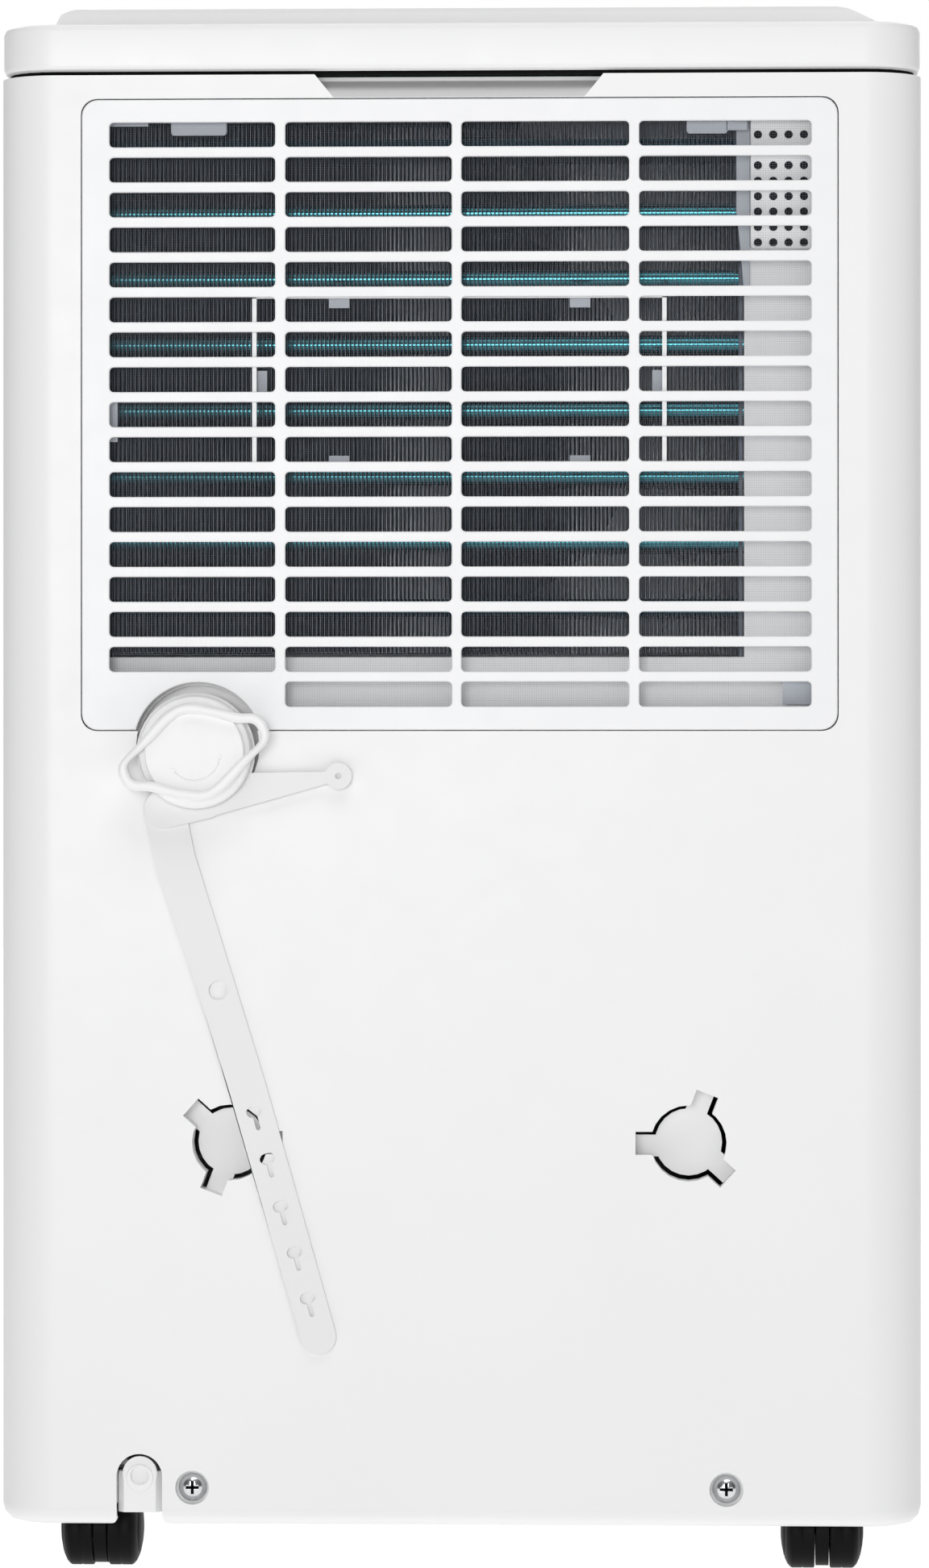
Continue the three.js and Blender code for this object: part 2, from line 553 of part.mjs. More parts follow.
function capTether() {
  const slab = (shape) => prism("y", shape, ...TETHER_Y);
  const elbow = [DRAIN.x + 4, DRAIN.z - 17.7];
  let body = union(
    slab(circle(DRAIN.x, DRAIN.z, TETHER_RING, 36)),
    slab(taperedBar([TETHER_STUD.x, TETHER_STUD.z, 7.6], [...elbow, 8])),
    slab(taperedBar([elbow[0], elbow[1] + 1, 8.6], [TETHER_BUTTON.x, TETHER_BUTTON.z, 1.7])),
    rod("y", TETHER_BUTTON.radius, TETHER_Y[0] - 0.6, TETHER_Y[1], [TETHER_BUTTON.x, TETHER_BUTTON.z], 20));
  const buttonAt = [TETHER_BUTTON.x, TETHER_BUTTON.z];
  body = cut(body, rod("y", CAP.sleeve + 0.6, TETHER_Y[0] - 1, TETHER_Y[1] + 1, [DRAIN.x, DRAIN.z], 24),
    rod("y", TETHER_BUTTON.dimple, TETHER_Y[0] - 1, TETHER_Y[0] + 0.8, buttonAt, 8));
  const barb = REAR + WALL + 2.7;
  return union(body,
    rod("y", STUD_RADIUS, TETHER_Y[1] - 0.5, REAR + WALL + 0.3, [TETHER_STUD.x, TETHER_STUD.z], 12),
    rod("y", STUD_RADIUS, TETHER_Y[1] - 0.5, barb, buttonAt, 12),
    rod("y", STUD_RADIUS + 1, barb - 2.4, barb, buttonAt, 12));
}

// The strap's centreline from its head down, as [x, z, half width].
const STRAP_LINE = [
  [TETHER_STUD.x, TETHER_STUD.z, 8.1], [-110.6, 278.2, 8], [-104, 257.9, 7.8], [-96.8, 235.9, 7.4],
  [-82.1, 188.9, 7.2], [-70.2, 147.2, 7.1], [-54.8, 92.5, 7.1]];
const STRAP_HOLE = { x: -93.7, z: 227.1, radius: 3.7 };
const KEYHOLES = [[-79.7, 180], [-74.5, 161.7], [-69.3, 143.2], [-63.9, 125.4], [-58.8, 107.6]];

function cordStrap() {
  const slab = (shape) => prism("y", shape, STRAP_FRONT, REAR - GAP);
  let strap = union(...STRAP_LINE.slice(1).map((end, i) => slab(taperedBar(STRAP_LINE[i], end))));
  strap = cut(strap,
    rod("y", STUD_RADIUS + 0.4, STRAP_FRONT - 1, REAR, [TETHER_STUD.x, TETHER_STUD.z], 12),
    rod("y", STRAP_HOLE.radius, STRAP_FRONT - 1, REAR, [STRAP_HOLE.x, STRAP_HOLE.z], 16),
    ...KEYHOLES.map(([x, z]) => union(
      prism("y", taperedBar([x - 0.9, z - 0.3, 2.1], [x + 0.9, z + 0.3, 2.1], 6), STRAP_FRONT - 1, REAR),
      prism("y", taperedBar([x, z, 0.9], [x + 1.7, z - 6.4, 0.9], 4), STRAP_FRONT - 1, REAR))));
  return strap;
}

// ---- Filter panel ----
function panelOutline(inset) {
  return roundedRectangle(-PANEL.halfWidth + inset, PANEL.halfWidth - inset,
    PANEL.bottom + inset, PANEL.top - inset, PANEL.corner - inset);
}

const NOTCH_RADIUS = POCKET.radius + 0.9;

function filterPanel() {
  const slots = [];
  for (let row = 0; row < SLOT.rows; row++) {
    const [z0, z1] = [-1, 1].map((side) => SLOT.topZ - row * SLOT.pitchZ + side * SLOT.height / 2);
    SLOT.columns.forEach(([x0, x1], column) => {
      const besidePocket = row === SLOT.rows - 1 && column === 0;
      if (!besidePocket) slots.push(polygon([[x0, z0], [x1, z0], [x1, z1], [x0, z1]]));
    });
  }
  const plate = prism("y", panelOutline(0), REAR, REAR + PANEL.face);
  const rim = cut(prism("y", panelOutline(0), REAR + 1, REAR + PANEL.depth),
    prism("y", panelOutline(1.8), REAR, REAR + PANEL.depth + 1));
  return cut(union(plate, rim), prism("y", slots, REAR - 1, REAR + PANEL.face + 0.5),
    rod("y", NOTCH_RADIUS, REAR - 1, REAR + 20, [POCKET.x, POCKET.z], 32));
}

function filterMesh() {
  const sheet = prism("y", panelOutline(2.3), REAR + 5.6, REAR + 6.4);
  return cut(sheet, rod("y", NOTCH_RADIUS, REAR - 1, REAR + 20, [POCKET.x, POCKET.z], 32));
}

const RIBS = { halfWidth: 80.7, bottom: 430.2, top: 498.2, width: 1.7 };

function filterFrame() {
  const { halfWidth, bottom, top, width } = RIBS;
  const y = [REAR + PANEL.face + GAP, REAR + 5.3];
  const frame = cut(box([-halfWidth, halfWidth], y, [bottom, top]),
    box([-halfWidth + width, halfWidth - width], [REAR, REAR + 10], [bottom + width, top - width]));
  const tabs = [];
  for (const x of [-47, 47]) {
    tabs.push(box([x - 4, x + 4], y, [top - 5.2, top - 1]));
    tabs.push(box([x - 4, x + 4], y, [bottom + 1, bottom + 5.2]));
  }
  for (const side of [-1, 1]) {
    const [near, far] = [side * (halfWidth - 5.6), side * (halfWidth - 1)].sort((a, b) => a - b);
    tabs.push(box([near, far], y, [459.5, 468.5]));
  }
  return union(frame, ...tabs);
}

// ---- Behind the filter ----
function coil([y0, y1], tubes) {
  const block = box([COIL.left, COIL.right], [y0, y1], [COIL.bottom, COIL.top]);
  const plate = (x) => box([x - 1, x + 1], [y0, y1], [357.3, COIL.top + 2]);
  const bends = [];
  const middle = (y0 + y1) / 2;
  for (let i = 0; i + 1 < tubes; i++) {
    const z = 376.6 + i * 25.8;
    const [root, reach] = i % 2 === 0 ? [COIL.left, COIL.left - 11] : [COIL.right, COIL.right + 9];
    const route = [[root, middle, z], [reach, middle, z + 5],
      [reach, middle, z + 20.8], [root, middle, z + 25.8]];
    bends.push(tube(route, 3.6, { sides: 6, steps: 5 }));
  }
  return union(block, plate(COIL.left + 1), plate(COIL.right - 1), ...bends);
}

// A blanking plate beside and below the coil, cut round the drain pocket and open under the sensor cover.
function coilBaffle() {
  const y = [-113.3, -111.3];
  const beside = box([COIL.right + 0.8, 150], y, [352, 575]);
  const below = box([COIL.left - 5, 150], y, [332, COIL.bottom - 2]);
  return cut(union(beside, below),
    box([SENSOR.x0 + 3, SENSOR.x1 - 3], [-114, -110], [SENSOR.z0 + 3, SENSOR.z1 - 3]),
    rod("y", POCKET.radius + 2 + 2, -114, -110, [POCKET.x, POCKET.z], 24));
}

const SENSOR = { x0: 113.3, x1: 139.3, z0: 515.8, z1: 566.4, front: -118.9 };
const VENT = { columns: 4, rows: 8, pitch: 6, radius: 1.55, inset: 3.1 };

function sensorCover() {
  const { x0, x1, z0, z1, front } = SENSOR;
  const vents = [];
  for (let i = 0; i < VENT.columns; i++) {
    for (let j = 0; j < VENT.rows; j++) {
      vents.push(circle(x0 + VENT.inset + i * VENT.pitch, 560.2 - j * VENT.pitch, VENT.radius, 4));
    }
  }
  const outer = prism("y", roundedRectangle(x0, x1, z0, z1, 1.5), front, -113.6, { curveSegments: 2 });
  const inner = box([x0 + 1.5, x1 - 1.5], [front + 1.4, -113], [z0 + 1.5, z1 - 1.5]);
  return cut(outer, inner, prism("y", vents, front - 1, front + 2));
}

function drainPan() {
  const outer = box([-146, 126], [-110.2, -46], [334.4, 357]);
  const inner = box([-144, 124], [-108.2, -48], [336.4, 358]);
  return cut(outer, inner, rod("z", 5, 334, 337, [DRAIN.x, -101], 16));
}

// The scroll's outline round the fan, opening upwards at its right.
function scrollOutline(grow) {
  const points = [];
  const [from, to] = [70, 360];
  const steps = 18;
  for (let i = 0; i <= steps; i++) {
    const degrees = from + ((to - from) * i) / steps;
    const radius = 96 + (30 * (degrees - from)) / (to - from) + grow;
    const angle = THREE.MathUtils.degToRad(degrees);
    points.push([FAN.x + radius * Math.cos(angle), FAN.z + radius * Math.sin(angle)]);
  }
  const exitLeft = points[0][0] - grow;
  const exitTop = BODY_TOP - 2 + (grow ? 0 : 5);
  points.push([FAN.x + 126 + grow, exitTop], [exitLeft, exitTop]);
  return polygon(points);
}

function blowerScroll() {
  const [y0, y1] = SCROLL_Y;
  const outer = prism("y", scrollOutline(WALL), y0, y1);
  const inner = prism("y", scrollOutline(0), y0 + WALL, y1 - WALL);
  const foot = box([-50, 10], [BAY_WALL_Y + 4, y1 - 2], [BAY_CEILING + 2.5 + GAP, 350]);
  const at = [FAN.x, FAN.z];
  const inlet = rod("y", 80, y0 - 1, y0 + WALL + 1, at, 32);
  const motorHole = rod("y", 20, y1 - WALL - 1, y1 + 1, at);
  return cut(union(outer, foot), inner, inlet, motorHole);
}

function blowerWheel() {
  const at = [FAN.x, FAN.z];
  const [y0, y1] = [SCROLL_Y[0] + 6, SCROLL_Y[1] - 8];
  const disc = rod("y", FAN.wheelRadius, y1 - 3, y1, at, 28);
  const ring = cut(rod("y", FAN.wheelRadius, y0, y0 + 4, at, 24),
    rod("y", FAN.bladeRoot + 6, y0 - 1, y0 + 5, at, 24));
  const hub = rod("y", 12, y1 - 26, y1, at, 20);
  let wheel = union(disc, ring, hub);
  for (let i = 0; i < FAN.blades; i++) {
    const angle = (2 * Math.PI * i) / FAN.blades;
    const place = ([radius, turn]) =>
      [FAN.x + radius * Math.cos(angle + turn), FAN.z + radius * Math.sin(angle + turn)];
    const root = FAN.bladeRoot;
    const section = polygon([[root, 0], [87.2, 0.11], [87.2, 0.13], [root, 0.026]].map(place));
    wheel = union(wheel, prism("y", section, y0 + 1, y1 - 1));
  }
  return cut(wheel, rod("y", 4.3, y0 - 1, y1 + 1, at, 16));
}

function fanMotor() {
  const at = [FAN.x, FAN.z];
  const can = rod("y", 36, 31.5, 84, at, 16);
  const flange = rod("y", 44, SCROLL_Y[1] + GAP, 31.6, at, 16);
  return cut(union(can, flange), rod("y", 4.6, 20, 40, at, 16));
}

// ---- Compressor and refrigerant pipes ----
function compressor() {
  const { x, y, radius, bottom, top } = COMPRESSOR;
  const shell = turned("z", [[0, bottom + 4], [radius - 16, bottom + 6], [radius - 3, bottom + 18],
    [radius, bottom + 28], [radius, top - 30], [radius - 4, top - 16], [radius - 18, top - 4],
    [0, top]], [x, y], 16);
  const plate = rod("z", 58, bottom, bottom + 3, [x, y], 3);
  const skirt = rod("z", radius - 18, bottom + 1, bottom + 8, [x, y], 20);
  const terminals = box([x - 72, x - 45], [y - 16, y + 16], [150, 190]);
  return union(shell, plate, skirt, terminals);
}

function suctionPipe() {
  const route = [[82, -62, 224], [84, -62, 250], [112, -66, 285], [148, -84, 305], [152, -98, 340],
    [150, -101, 362], [138, -101, 372], [124, -100.25, 376], [110.8, -100.25, 376.6]];
  return tube(route, 4, { sides: 6, steps: 24 });
}

function dischargePipe() {
  const route = [[40, -62, 225.6], [40, -62, 262], [70, -64, 296], [130, -66, 312], [163, -66, 330],
    [166, -66, 400], [166, -66, 530], [158, -67, 550], [138, -68, 557], [110.8, -68, 557.2]];
  return tube(route, 3.4, { sides: 6, steps: 28 });
}

function capillaryTube() {
  const points = [[110.8, -68, 376.6], [124, -68, 377]];
  const turns = 2;
  const perTurn = 8;
  for (let i = 0; i <= turns * perTurn; i++) {
    const angle = (2 * Math.PI * i) / perTurn - Math.PI / 2;
    points.push([140 + 13 * Math.cos(angle + Math.PI / 2), -68 + 10 * Math.sin(angle + Math.PI),
      392 + (i * 16) / perTurn]);
  }
  points.push([134, -78, 470], [134, -92, 540], [124, -100.25, 556], [110.8, -100.25, 557.2]);
  return tube(points, 1.7, { sides: 4, steps: 44 });
}

// ---- Bucket bay and bucket ----
function bucketBay() {
  const half = HALF_WIDTH - WALL - 1;
  const wall = box([-half, half], [BAY_WALL_Y, BAY_WALL_Y + 2.5], [WELL_TOP + 14, BAY_CEILING + 2.5]);
  const deck = prism("z", planOutline(WALL + 1), BAY_CEILING, BAY_CEILING + 2.5)
    .intersect(box([-FAR, FAR], [BAY_WALL_Y, FAR], [0, FAR]));
  return union(wall, deck);
}

// The tub is narrower near the floor, where it slides out between the front casters' wells.
function bucketTub() {
  const { halfWidth, narrow, step, rear, front, bottom, top, corner, wall } = BUCKET;
  const layer = (half, inset, z0, z1) => prism("z", roundedRectangle(-half + inset, half - inset,
    rear + inset, front - inset, corner - inset), z0, z1, { bevel: 4 });
  const outer = union(layer(halfWidth, 0, step, top + 20), layer(narrow, 0, bottom, top));
  const inner = union(layer(halfWidth, wall, step + wall, top + 30), layer(narrow, wall, bottom + wall, top));
  return cut(outer, inner).intersect(box([-FAR, FAR], [-FAR, FAR], [0, top]));
}

const GRIP_PULL = { halfWidth: 55, bottom: 228, mouthTop: 250, top: 258, back: 124 };
const LEVEL = { x0: 95, x1: 113, z0: 70, z1: 200 };

function bucketFront() {
  const { halfWidth, bottom, top, corner, back } = FASCIA;
  const { halfWidth: grip, bottom: g0, mouthTop, top: g1, back: gripBack } = GRIP_PULL;
  const face = roundedRectangle(-halfWidth, halfWidth, bottom, top, corner);
  const plate = prism("y", face, back, FRONT, { bevel: 1, bevelSegments: 2 });
  const block = box([-grip - 2.5, grip + 2.5], [gripBack - 2.5, back + 1], [g0 - 2.5, g1 + 2.5]);
  return cut(union(plate, block),
    box([-grip, grip], [gripBack, FRONT + 1], [g0, mouthTop]),
    box([-grip, grip], [gripBack, back + 2.2], [g0, g1]),
    prism("y", roundedRectangle(LEVEL.x0, LEVEL.x1, LEVEL.z0, LEVEL.z1, 4), back - 1, FRONT + 1));
}

const DRIP = { x0: -45, x1: 75, y0: 34, y1: 94 };

function bucketCover() {
  const { halfWidth, rear, front, top, corner } = BUCKET;
  const z0 = top + GAP;
  const shape = roundedRectangle(-halfWidth, halfWidth, rear, front - 13, corner);
  shape.holes.push(roundedRectangle(DRIP.x0, DRIP.x1, DRIP.y0, DRIP.y1, 8));
  let cover = prism("z", shape, z0, z0 + 2.5);
  const lip = 2.5;
  const rim = cut(prism("z", roundedRectangle(DRIP.x0 - lip, DRIP.x1 + lip, DRIP.y0 - lip, DRIP.y1 + lip, 10),
    z0 - 8, z0 + 1), prism("z", roundedRectangle(DRIP.x0, DRIP.x1, DRIP.y0, DRIP.y1, 8), z0 - 9, z0 + 3));
  const switchRib = box([SWITCH_PIVOT.x - 6, SWITCH_PIVOT.x + 6], [26.2, 28.4], [z0 + 1, 242]);
  cover = union(cover, rim, switchRib);
  for (const side of [-1, 1]) {
    const [a, b] = [side * (HANDLE.halfWidth + 4.5), side * (HANDLE.halfWidth + 8)].sort((p, q) => p - q);
    const lug = box([a, b], [HANDLE.y - 6, HANDLE.y + 6], [z0 + 1, HANDLE.z + 6]);
    cover = union(cover, cut(lug, rod("x", 2.9, a - 1, b + 1, [HANDLE.y, HANDLE.z], 16)));
  }
  for (const y of [31, 46]) {
    const lug = box([FLOAT_PIVOT.x - 5, FLOAT_PIVOT.x + 5], [y, y + 3], [FLOAT_PIVOT.z - 5, z0 + 1]);
    cover = union(cover, cut(lug, rod("y", 2.6, y - 1, y + 4, [FLOAT_PIVOT.x, FLOAT_PIVOT.z], 16)));
  }
  return cover;
}

function bucketHandle() {
  const { y, z, reach, halfWidth } = HANDLE;
  const z0 = BUCKET.top + GAP + 2.5 + 0.6;
  const flat = [z0, z + 3.4];
  const arms = [-1, 1].map((side) => {
    const [a, b] = [side * halfWidth, side * (halfWidth + 3.5)].sort((p, q) => p - q);
    const [c, d] = [side * halfWidth, side * (halfWidth + 8.5)].sort((p, q) => p - q);
    const arm = prism("x", roundedRectangle(y - 3.6, y + reach, ...flat, 3), a, b);
    return union(arm, rod("x", 2.4, c, d, [y, z], 16));
  });
  const bar = prism("x", roundedRectangle(y + reach - 12, y + reach, flat[0], flat[1] + 1.2, 2.5),
    -halfWidth - 3.5, halfWidth + 3.5, { curveSegments: 2 });
  return union(...arms, bar);
}

function bucketFloat() {
  const { x, z } = FLOAT_PIVOT;
  const block = prism("y", roundedRectangle(x - 72, x - 28, 140, 166, 5), 24, 54);
  const arm = prism("y", taperedBar([x, z, 4.4], [x - 42, 160, 4], 6), 36, 43.5);
  return union(block, arm, rod("y", 2.2, 30, 50, [x, z], 16));
}

function bucketSwitch() {
  const { x, y, z } = SWITCH_PIVOT;
  const body = box([x - 10, x + 10], [y - 14, y + 12], [z - 6, BAY_CEILING - GAP]);
  return cut(body, box([x - 5, x + 5], [y - 9, y + 9], [z - 8, z + 7]),
    rod("x", 1.8, x - 8, x + 8, [y, z], 12));
}

function switchLever() {
  const { x, y, z } = SWITCH_PIVOT;
  const arm = box([x - 4, x + 4], [y - 0.8, y + 0.8], [234, z + 1]);
  const nose = prism("x", circle(y + 0.4, 235, 1.5, 12), x - 4, x + 4);
  const hub = prism("x", circle(y, z, 3, 16), x - 4.3, x + 4.3);
  return union(arm, nose, hub, rod("x", 1.4, x - 7.6, x + 7.6, [y, z], 12));
}

// ---- Casters: a swivelling carrier between two domed wheels on one axle ----
function casterCarrier({ x, y, trail }) {
  const axleY = y + trail;
  const top = 38;
  const web = prism("x", polygon([
    [axleY - 5, CASTER.radius - 6], [axleY + 5, CASTER.radius - 6], [y + 8, 31], [y + 8, top - 3],
    [y - 8 + trail, top - 3], [axleY - 8, 29]]), x - 2.4, x + 2.4);
  const fender = rod("x", CASTER.radius - 0.8, x - 2.5, x + 2.5, [axleY, CASTER.radius], 20);
  const hood = rod("z", 12, 33, top, [x, y], 20);
  const stem = rod("z", 4, top - 1, WELL_TOP + 5, [x, y], 12);
  return cut(union(web, fender, hood, stem), rod("x", 2.6, x - 4, x + 4, [axleY, CASTER.radius], 12));
}

function casterWheels({ x, y, trail }) {
  const { radius, halfWidth } = CASTER;
  const inner = 3;
  const profile = [[0, inner], [radius, inner], [radius, 11.8], [12.9, 13.8], [6.2, 15.6], [0, halfWidth]];
  const at = [y + trail, radius];
  const right = turned("x", profile, at, 16);
  const left = turned("x", profile.map(([r, h]) => [r, -h]), at, 16);
  return union(right, left, rod("x", 2, -inner - 1, inner + 1, at, 12)).translate([x, 0, 0]);
}

// ---- Small rear pieces ----
// The cord outlet: a domed block with sloping flanks that fill the notch, and an empty round boss.
function cordGland() {
  const { x, radius, centreZ } = CORD_NOTCH;
  const bottom = PAN_BOTTOM - 0.4;
  const half = 6.2;
  const flank = radius - 0.3;
  const [y0, y1] = [REAR + 2.4, REAR + 9];
  const plan = polygon([[x - half, y0], [x + half, y0], [x + flank, y0 + 3], [x + flank, y1],
    [x - flank, y1], [x - flank, y0 + 3]]);
  const arch = union(rod("y", flank, y0 - 1, y1 + 1, [x, centreZ], 24),
    box([x - flank, x + flank], [y0 - 1, y1 + 1], [0, centreZ]));
  const block = prism("z", plan, bottom, centreZ + 2).intersect(arch);
  const dome = rod("y", half + 0.6, y0, y1 - 0.2, [x, centreZ + 1.1], 24);
  const boss = rod("y", 5.2, y0 - 0.6, y0 + 1, [x, centreZ - 0.6], 20);
  return cut(union(block, dome, boss), rod("y", 3.6, y0 - 2, y0 + 1.2, [x, centreZ + 0.3], 20));
}

function rearScrew(side) {
  const at = [side * SCREW.x, SCREW.z];
  const seat = REAR + WALL + 1.5 - GAP;
  const head = turned("y", [[0, seat - 3.1], [2.6, seat - 2.9], [4.6, seat - 1.9], [5.5, seat - 0.6],
    [5.5, seat], [0, seat]], at, 24);
  const shank = rod("y", 1.9, seat - 0.5, seat + 13, at, 12);
  const cross = union(box([at[0] - 2.5, at[0] + 2.5], [seat - 5, seat - 1.6], [at[1] - 0.55, at[1] + 0.55]),
    box([at[0] - 0.55, at[0] + 0.55], [seat - 5, seat - 1.6], [at[1] - 2.5, at[1] + 2.5]));
  return cut(union(head, shank), cross);
}

// ---- The assembly ----
add("rear_cabinet", rearCabinet(), "white");
add("front_cabinet", frontCabinet(), "white");
add("base_pan", basePan(), "innerWhite");
add("top_lid", topLid(), "white");
add("lid_gasket", lidGasket(), "foam");
add("console", topConsole(), "white");
add("outlet_grille", outletGrille(), "white");
add("control_fascia", controlFascia(), "smoked");
const windowOutline = roundedRectangle(-WINDOW.halfWidth, WINDOW.halfWidth, WINDOW.y0, WINDOW.y1, 2.7);
add("display_window", prism("z", windowOutline, TOTAL_HEIGHT - 2.2, TOTAL_HEIGHT - 0.1), "smoked");
add("control_board", box([-105, 105], [48, 88], [LID_TOP + 1, LID_TOP + 2.6]), "board");
BUTTON.xs.forEach((x, i) => {
  const cap = rod("z", BUTTON.radius, TOTAL_HEIGHT - 5.6, TOTAL_HEIGHT, [x, BUTTON.y], 16);
  const stem = rod("z", 2.5, LID_TOP + 4.2, TOTAL_HEIGHT - 5, [x, BUTTON.y], 8);
  add(`button_${i + 1}`, union(cap, stem), "white");
});

add("filter_panel", filterPanel(), "white");
add("filter_frame", filterFrame(), "white");
add("filter_mesh", filterMesh(), "netting");
add("evaporator_coil", coil(EVAPORATOR_Y, 8), "blueFin");
add("condenser_coil", coil(CONDENSER_Y, 8), "aluminium");
add("coil_baffle", coilBaffle(), "innerWhite");
add("sensor_cover", sensorCover(), "innerWhite");
add("drain_pan", drainPan(), "innerWhite");
add("drain_spout", drainSpout(), "innerWhite");
add("drain_cap", drainCap(), "white");
add("cap_seal", cut(rod("y", DRAIN.radius, -134.2, -132.9, [DRAIN.x, DRAIN.z], 24),
  rod("y", 6, -135, -132, [DRAIN.x, DRAIN.z], 16)), "black");
add("cap_tether", capTether(), "translucent");
add("cord_strap", cordStrap(), "translucent");
add("hook_receiver_left", hookReceiver(-1), "white");
add("hook_receiver_right", hookReceiver(1), "white");
add("cord_gland", cordGland(), "white");
add("rear_screw_left", rearScrew(-1), "steel");
add("rear_screw_right", rearScrew(1), "steel");

add("blower_scroll", blowerScroll(), "innerWhite");
add("blower_wheel", blowerWheel(), "black");
add("blower_shaft", rod("y", 4, -14, 39, [FAN.x, FAN.z], 16), "steel");
add("fan_motor", fanMotor(), "paintedSteel");
add("compressor", compressor(), "paintedSteel");
add("suction_pipe", suctionPipe(), "copper");
add("discharge_pipe", dischargePipe(), "copper");
add("capillary_tube", capillaryTube(), "copper");
add("electrical_box", box([-160, -66], [58, 122], [BAY_CEILING + 2.5 + GAP, 420]), "innerWhite");

add("bucket_bay", bucketBay(), "innerWhite");
add("bucket_switch", bucketSwitch(), "black");
add("switch_lever", switchLever(), "white");
add("bucket_tub", bucketTub(), "translucent");
add("bucket_cover", bucketCover(), "white");
add("bucket_front", bucketFront(), "white");
const levelOutline = roundedRectangle(LEVEL.x0 + GAP, LEVEL.x1 - GAP, LEVEL.z0 + GAP, LEVEL.z1 - GAP, 3.7);
add("level_window", prism("y", levelOutline, BUCKET.front + GAP, FRONT - 0.5), "clear");
add("bucket_handle", bucketHandle(), "white");
add("bucket_float", bucketFloat(), "translucent");

for (const place of casterPlaces()) {
  add(`caster_carrier_${place.name}`, casterCarrier(place), "black");
  add(`caster_wheels_${place.name}`, casterWheels(place), "black");
}

export default dehumidifier;
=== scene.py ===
"""The looks of a portable compressor dehumidifier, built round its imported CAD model.

Everything is in metres in the CAD model's frame: +Z up, the rear face with the air filter
towards -Y, the water bucket at +Y. Sizes below are written in millimetres times MM.
"""

import json
import math

import bmesh
import bpy
from mathutils import Matrix, Vector


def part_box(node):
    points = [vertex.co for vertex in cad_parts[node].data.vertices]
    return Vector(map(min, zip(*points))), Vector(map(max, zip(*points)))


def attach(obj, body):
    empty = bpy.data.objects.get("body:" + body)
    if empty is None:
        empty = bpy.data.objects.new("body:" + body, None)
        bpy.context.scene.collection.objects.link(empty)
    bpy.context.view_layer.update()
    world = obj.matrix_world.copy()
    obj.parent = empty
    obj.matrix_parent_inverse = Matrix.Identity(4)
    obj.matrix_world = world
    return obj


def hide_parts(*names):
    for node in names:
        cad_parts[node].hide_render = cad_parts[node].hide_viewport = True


MM = 0.001
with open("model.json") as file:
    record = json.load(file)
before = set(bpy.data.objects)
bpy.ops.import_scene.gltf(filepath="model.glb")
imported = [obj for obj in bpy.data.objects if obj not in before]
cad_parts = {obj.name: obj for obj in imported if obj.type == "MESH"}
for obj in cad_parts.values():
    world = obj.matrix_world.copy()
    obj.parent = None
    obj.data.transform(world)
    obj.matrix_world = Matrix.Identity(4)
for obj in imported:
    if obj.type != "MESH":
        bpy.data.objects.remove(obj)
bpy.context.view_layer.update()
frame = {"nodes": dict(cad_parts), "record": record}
NODES = frame["nodes"]

# Places and sizes that the CAD model shares.
DRAIN = Vector((-102.2, 0, 319.7)) * MM
POCKET = Vector((-101.7, 0, 321.9)) * MM
NOTCH_RADIUS = 25 * MM
SLOT_COLUMNS = [(-136.2 * MM, -71.6 * MM), (-67.6 * MM, -2.8 * MM),
                (1 * MM, 66.1 * MM), (70.1 * MM, 136.8 * MM)]
SLOT_ROWS = [(560.1 - 13.61 * row) * MM for row in range(17)]
SLOT_HEIGHT = 9.65 * MM
SLOT_CORNER = 1.7 * MM
TUBE_ROWS = [(376.6 + 25.8 * row) * MM for row in range(8)]


# ---- Materials ----
def surface(name, colour, roughness, metallic=0.0, mottle=0.03, spread=0.06, grain=900.0, bump=0.03,
            cloud=14.0, **sockets):
    """A moulded, cast or drawn surface: clouded colour, uneven gloss and a fine grain in its relief."""
    made = bpy.data.materials.new(name)
    made.use_nodes = True
    tree = made.node_tree
    shader = tree.nodes["Principled BSDF"]
    shader.inputs["Metallic"].default_value = metallic
    for socket, value in sockets.items():
        shader.inputs[socket.replace("_", " ")].default_value = value
    place = tree.nodes.new("ShaderNodeTexCoord").outputs["Object"]

    def noise(scale, detail):
        node = tree.nodes.new("ShaderNodeTexNoise")
        node.inputs["Scale"].default_value = scale
        node.inputs["Detail"].default_value = detail
        tree.links.new(place, node.inputs["Vector"])
        return node.outputs["Fac"]

    clouds = noise(cloud, 3.0)
    ramp = tree.nodes.new("ShaderNodeValToRGB")
    ramp.color_ramp.elements[0].position = 0.3
    ramp.color_ramp.elements[1].position = 0.7
    ramp.color_ramp.elements[0].color = (*[c * (1 - mottle) for c in colour], 1)
    ramp.color_ramp.elements[1].color = (*[min(c * (1 + mottle), 1) for c in colour], 1)
    tree.links.new(clouds, ramp.inputs["Fac"])
    tree.links.new(ramp.outputs["Color"], shader.inputs["Base Color"])

    gloss = tree.nodes.new("ShaderNodeMapRange")
    gloss.inputs["To Min"].default_value = max(roughness - spread, 0.02)
    gloss.inputs["To Max"].default_value = min(roughness + spread, 1)
    tree.links.new(noise(cloud * 7, 4.0), gloss.inputs["Value"])
    tree.links.new(gloss.outputs["Result"], shader.inputs["Roughness"])

    relief = tree.nodes.new("ShaderNodeBump")
    relief.inputs["Strength"].default_value = bump
    relief.inputs["Distance"].default_value = 0.2 * MM
    tree.links.new(noise(grain, 2.0), relief.inputs["Height"])
    tree.links.new(relief.outputs["Normal"], shader.inputs["Normal"])
    return made


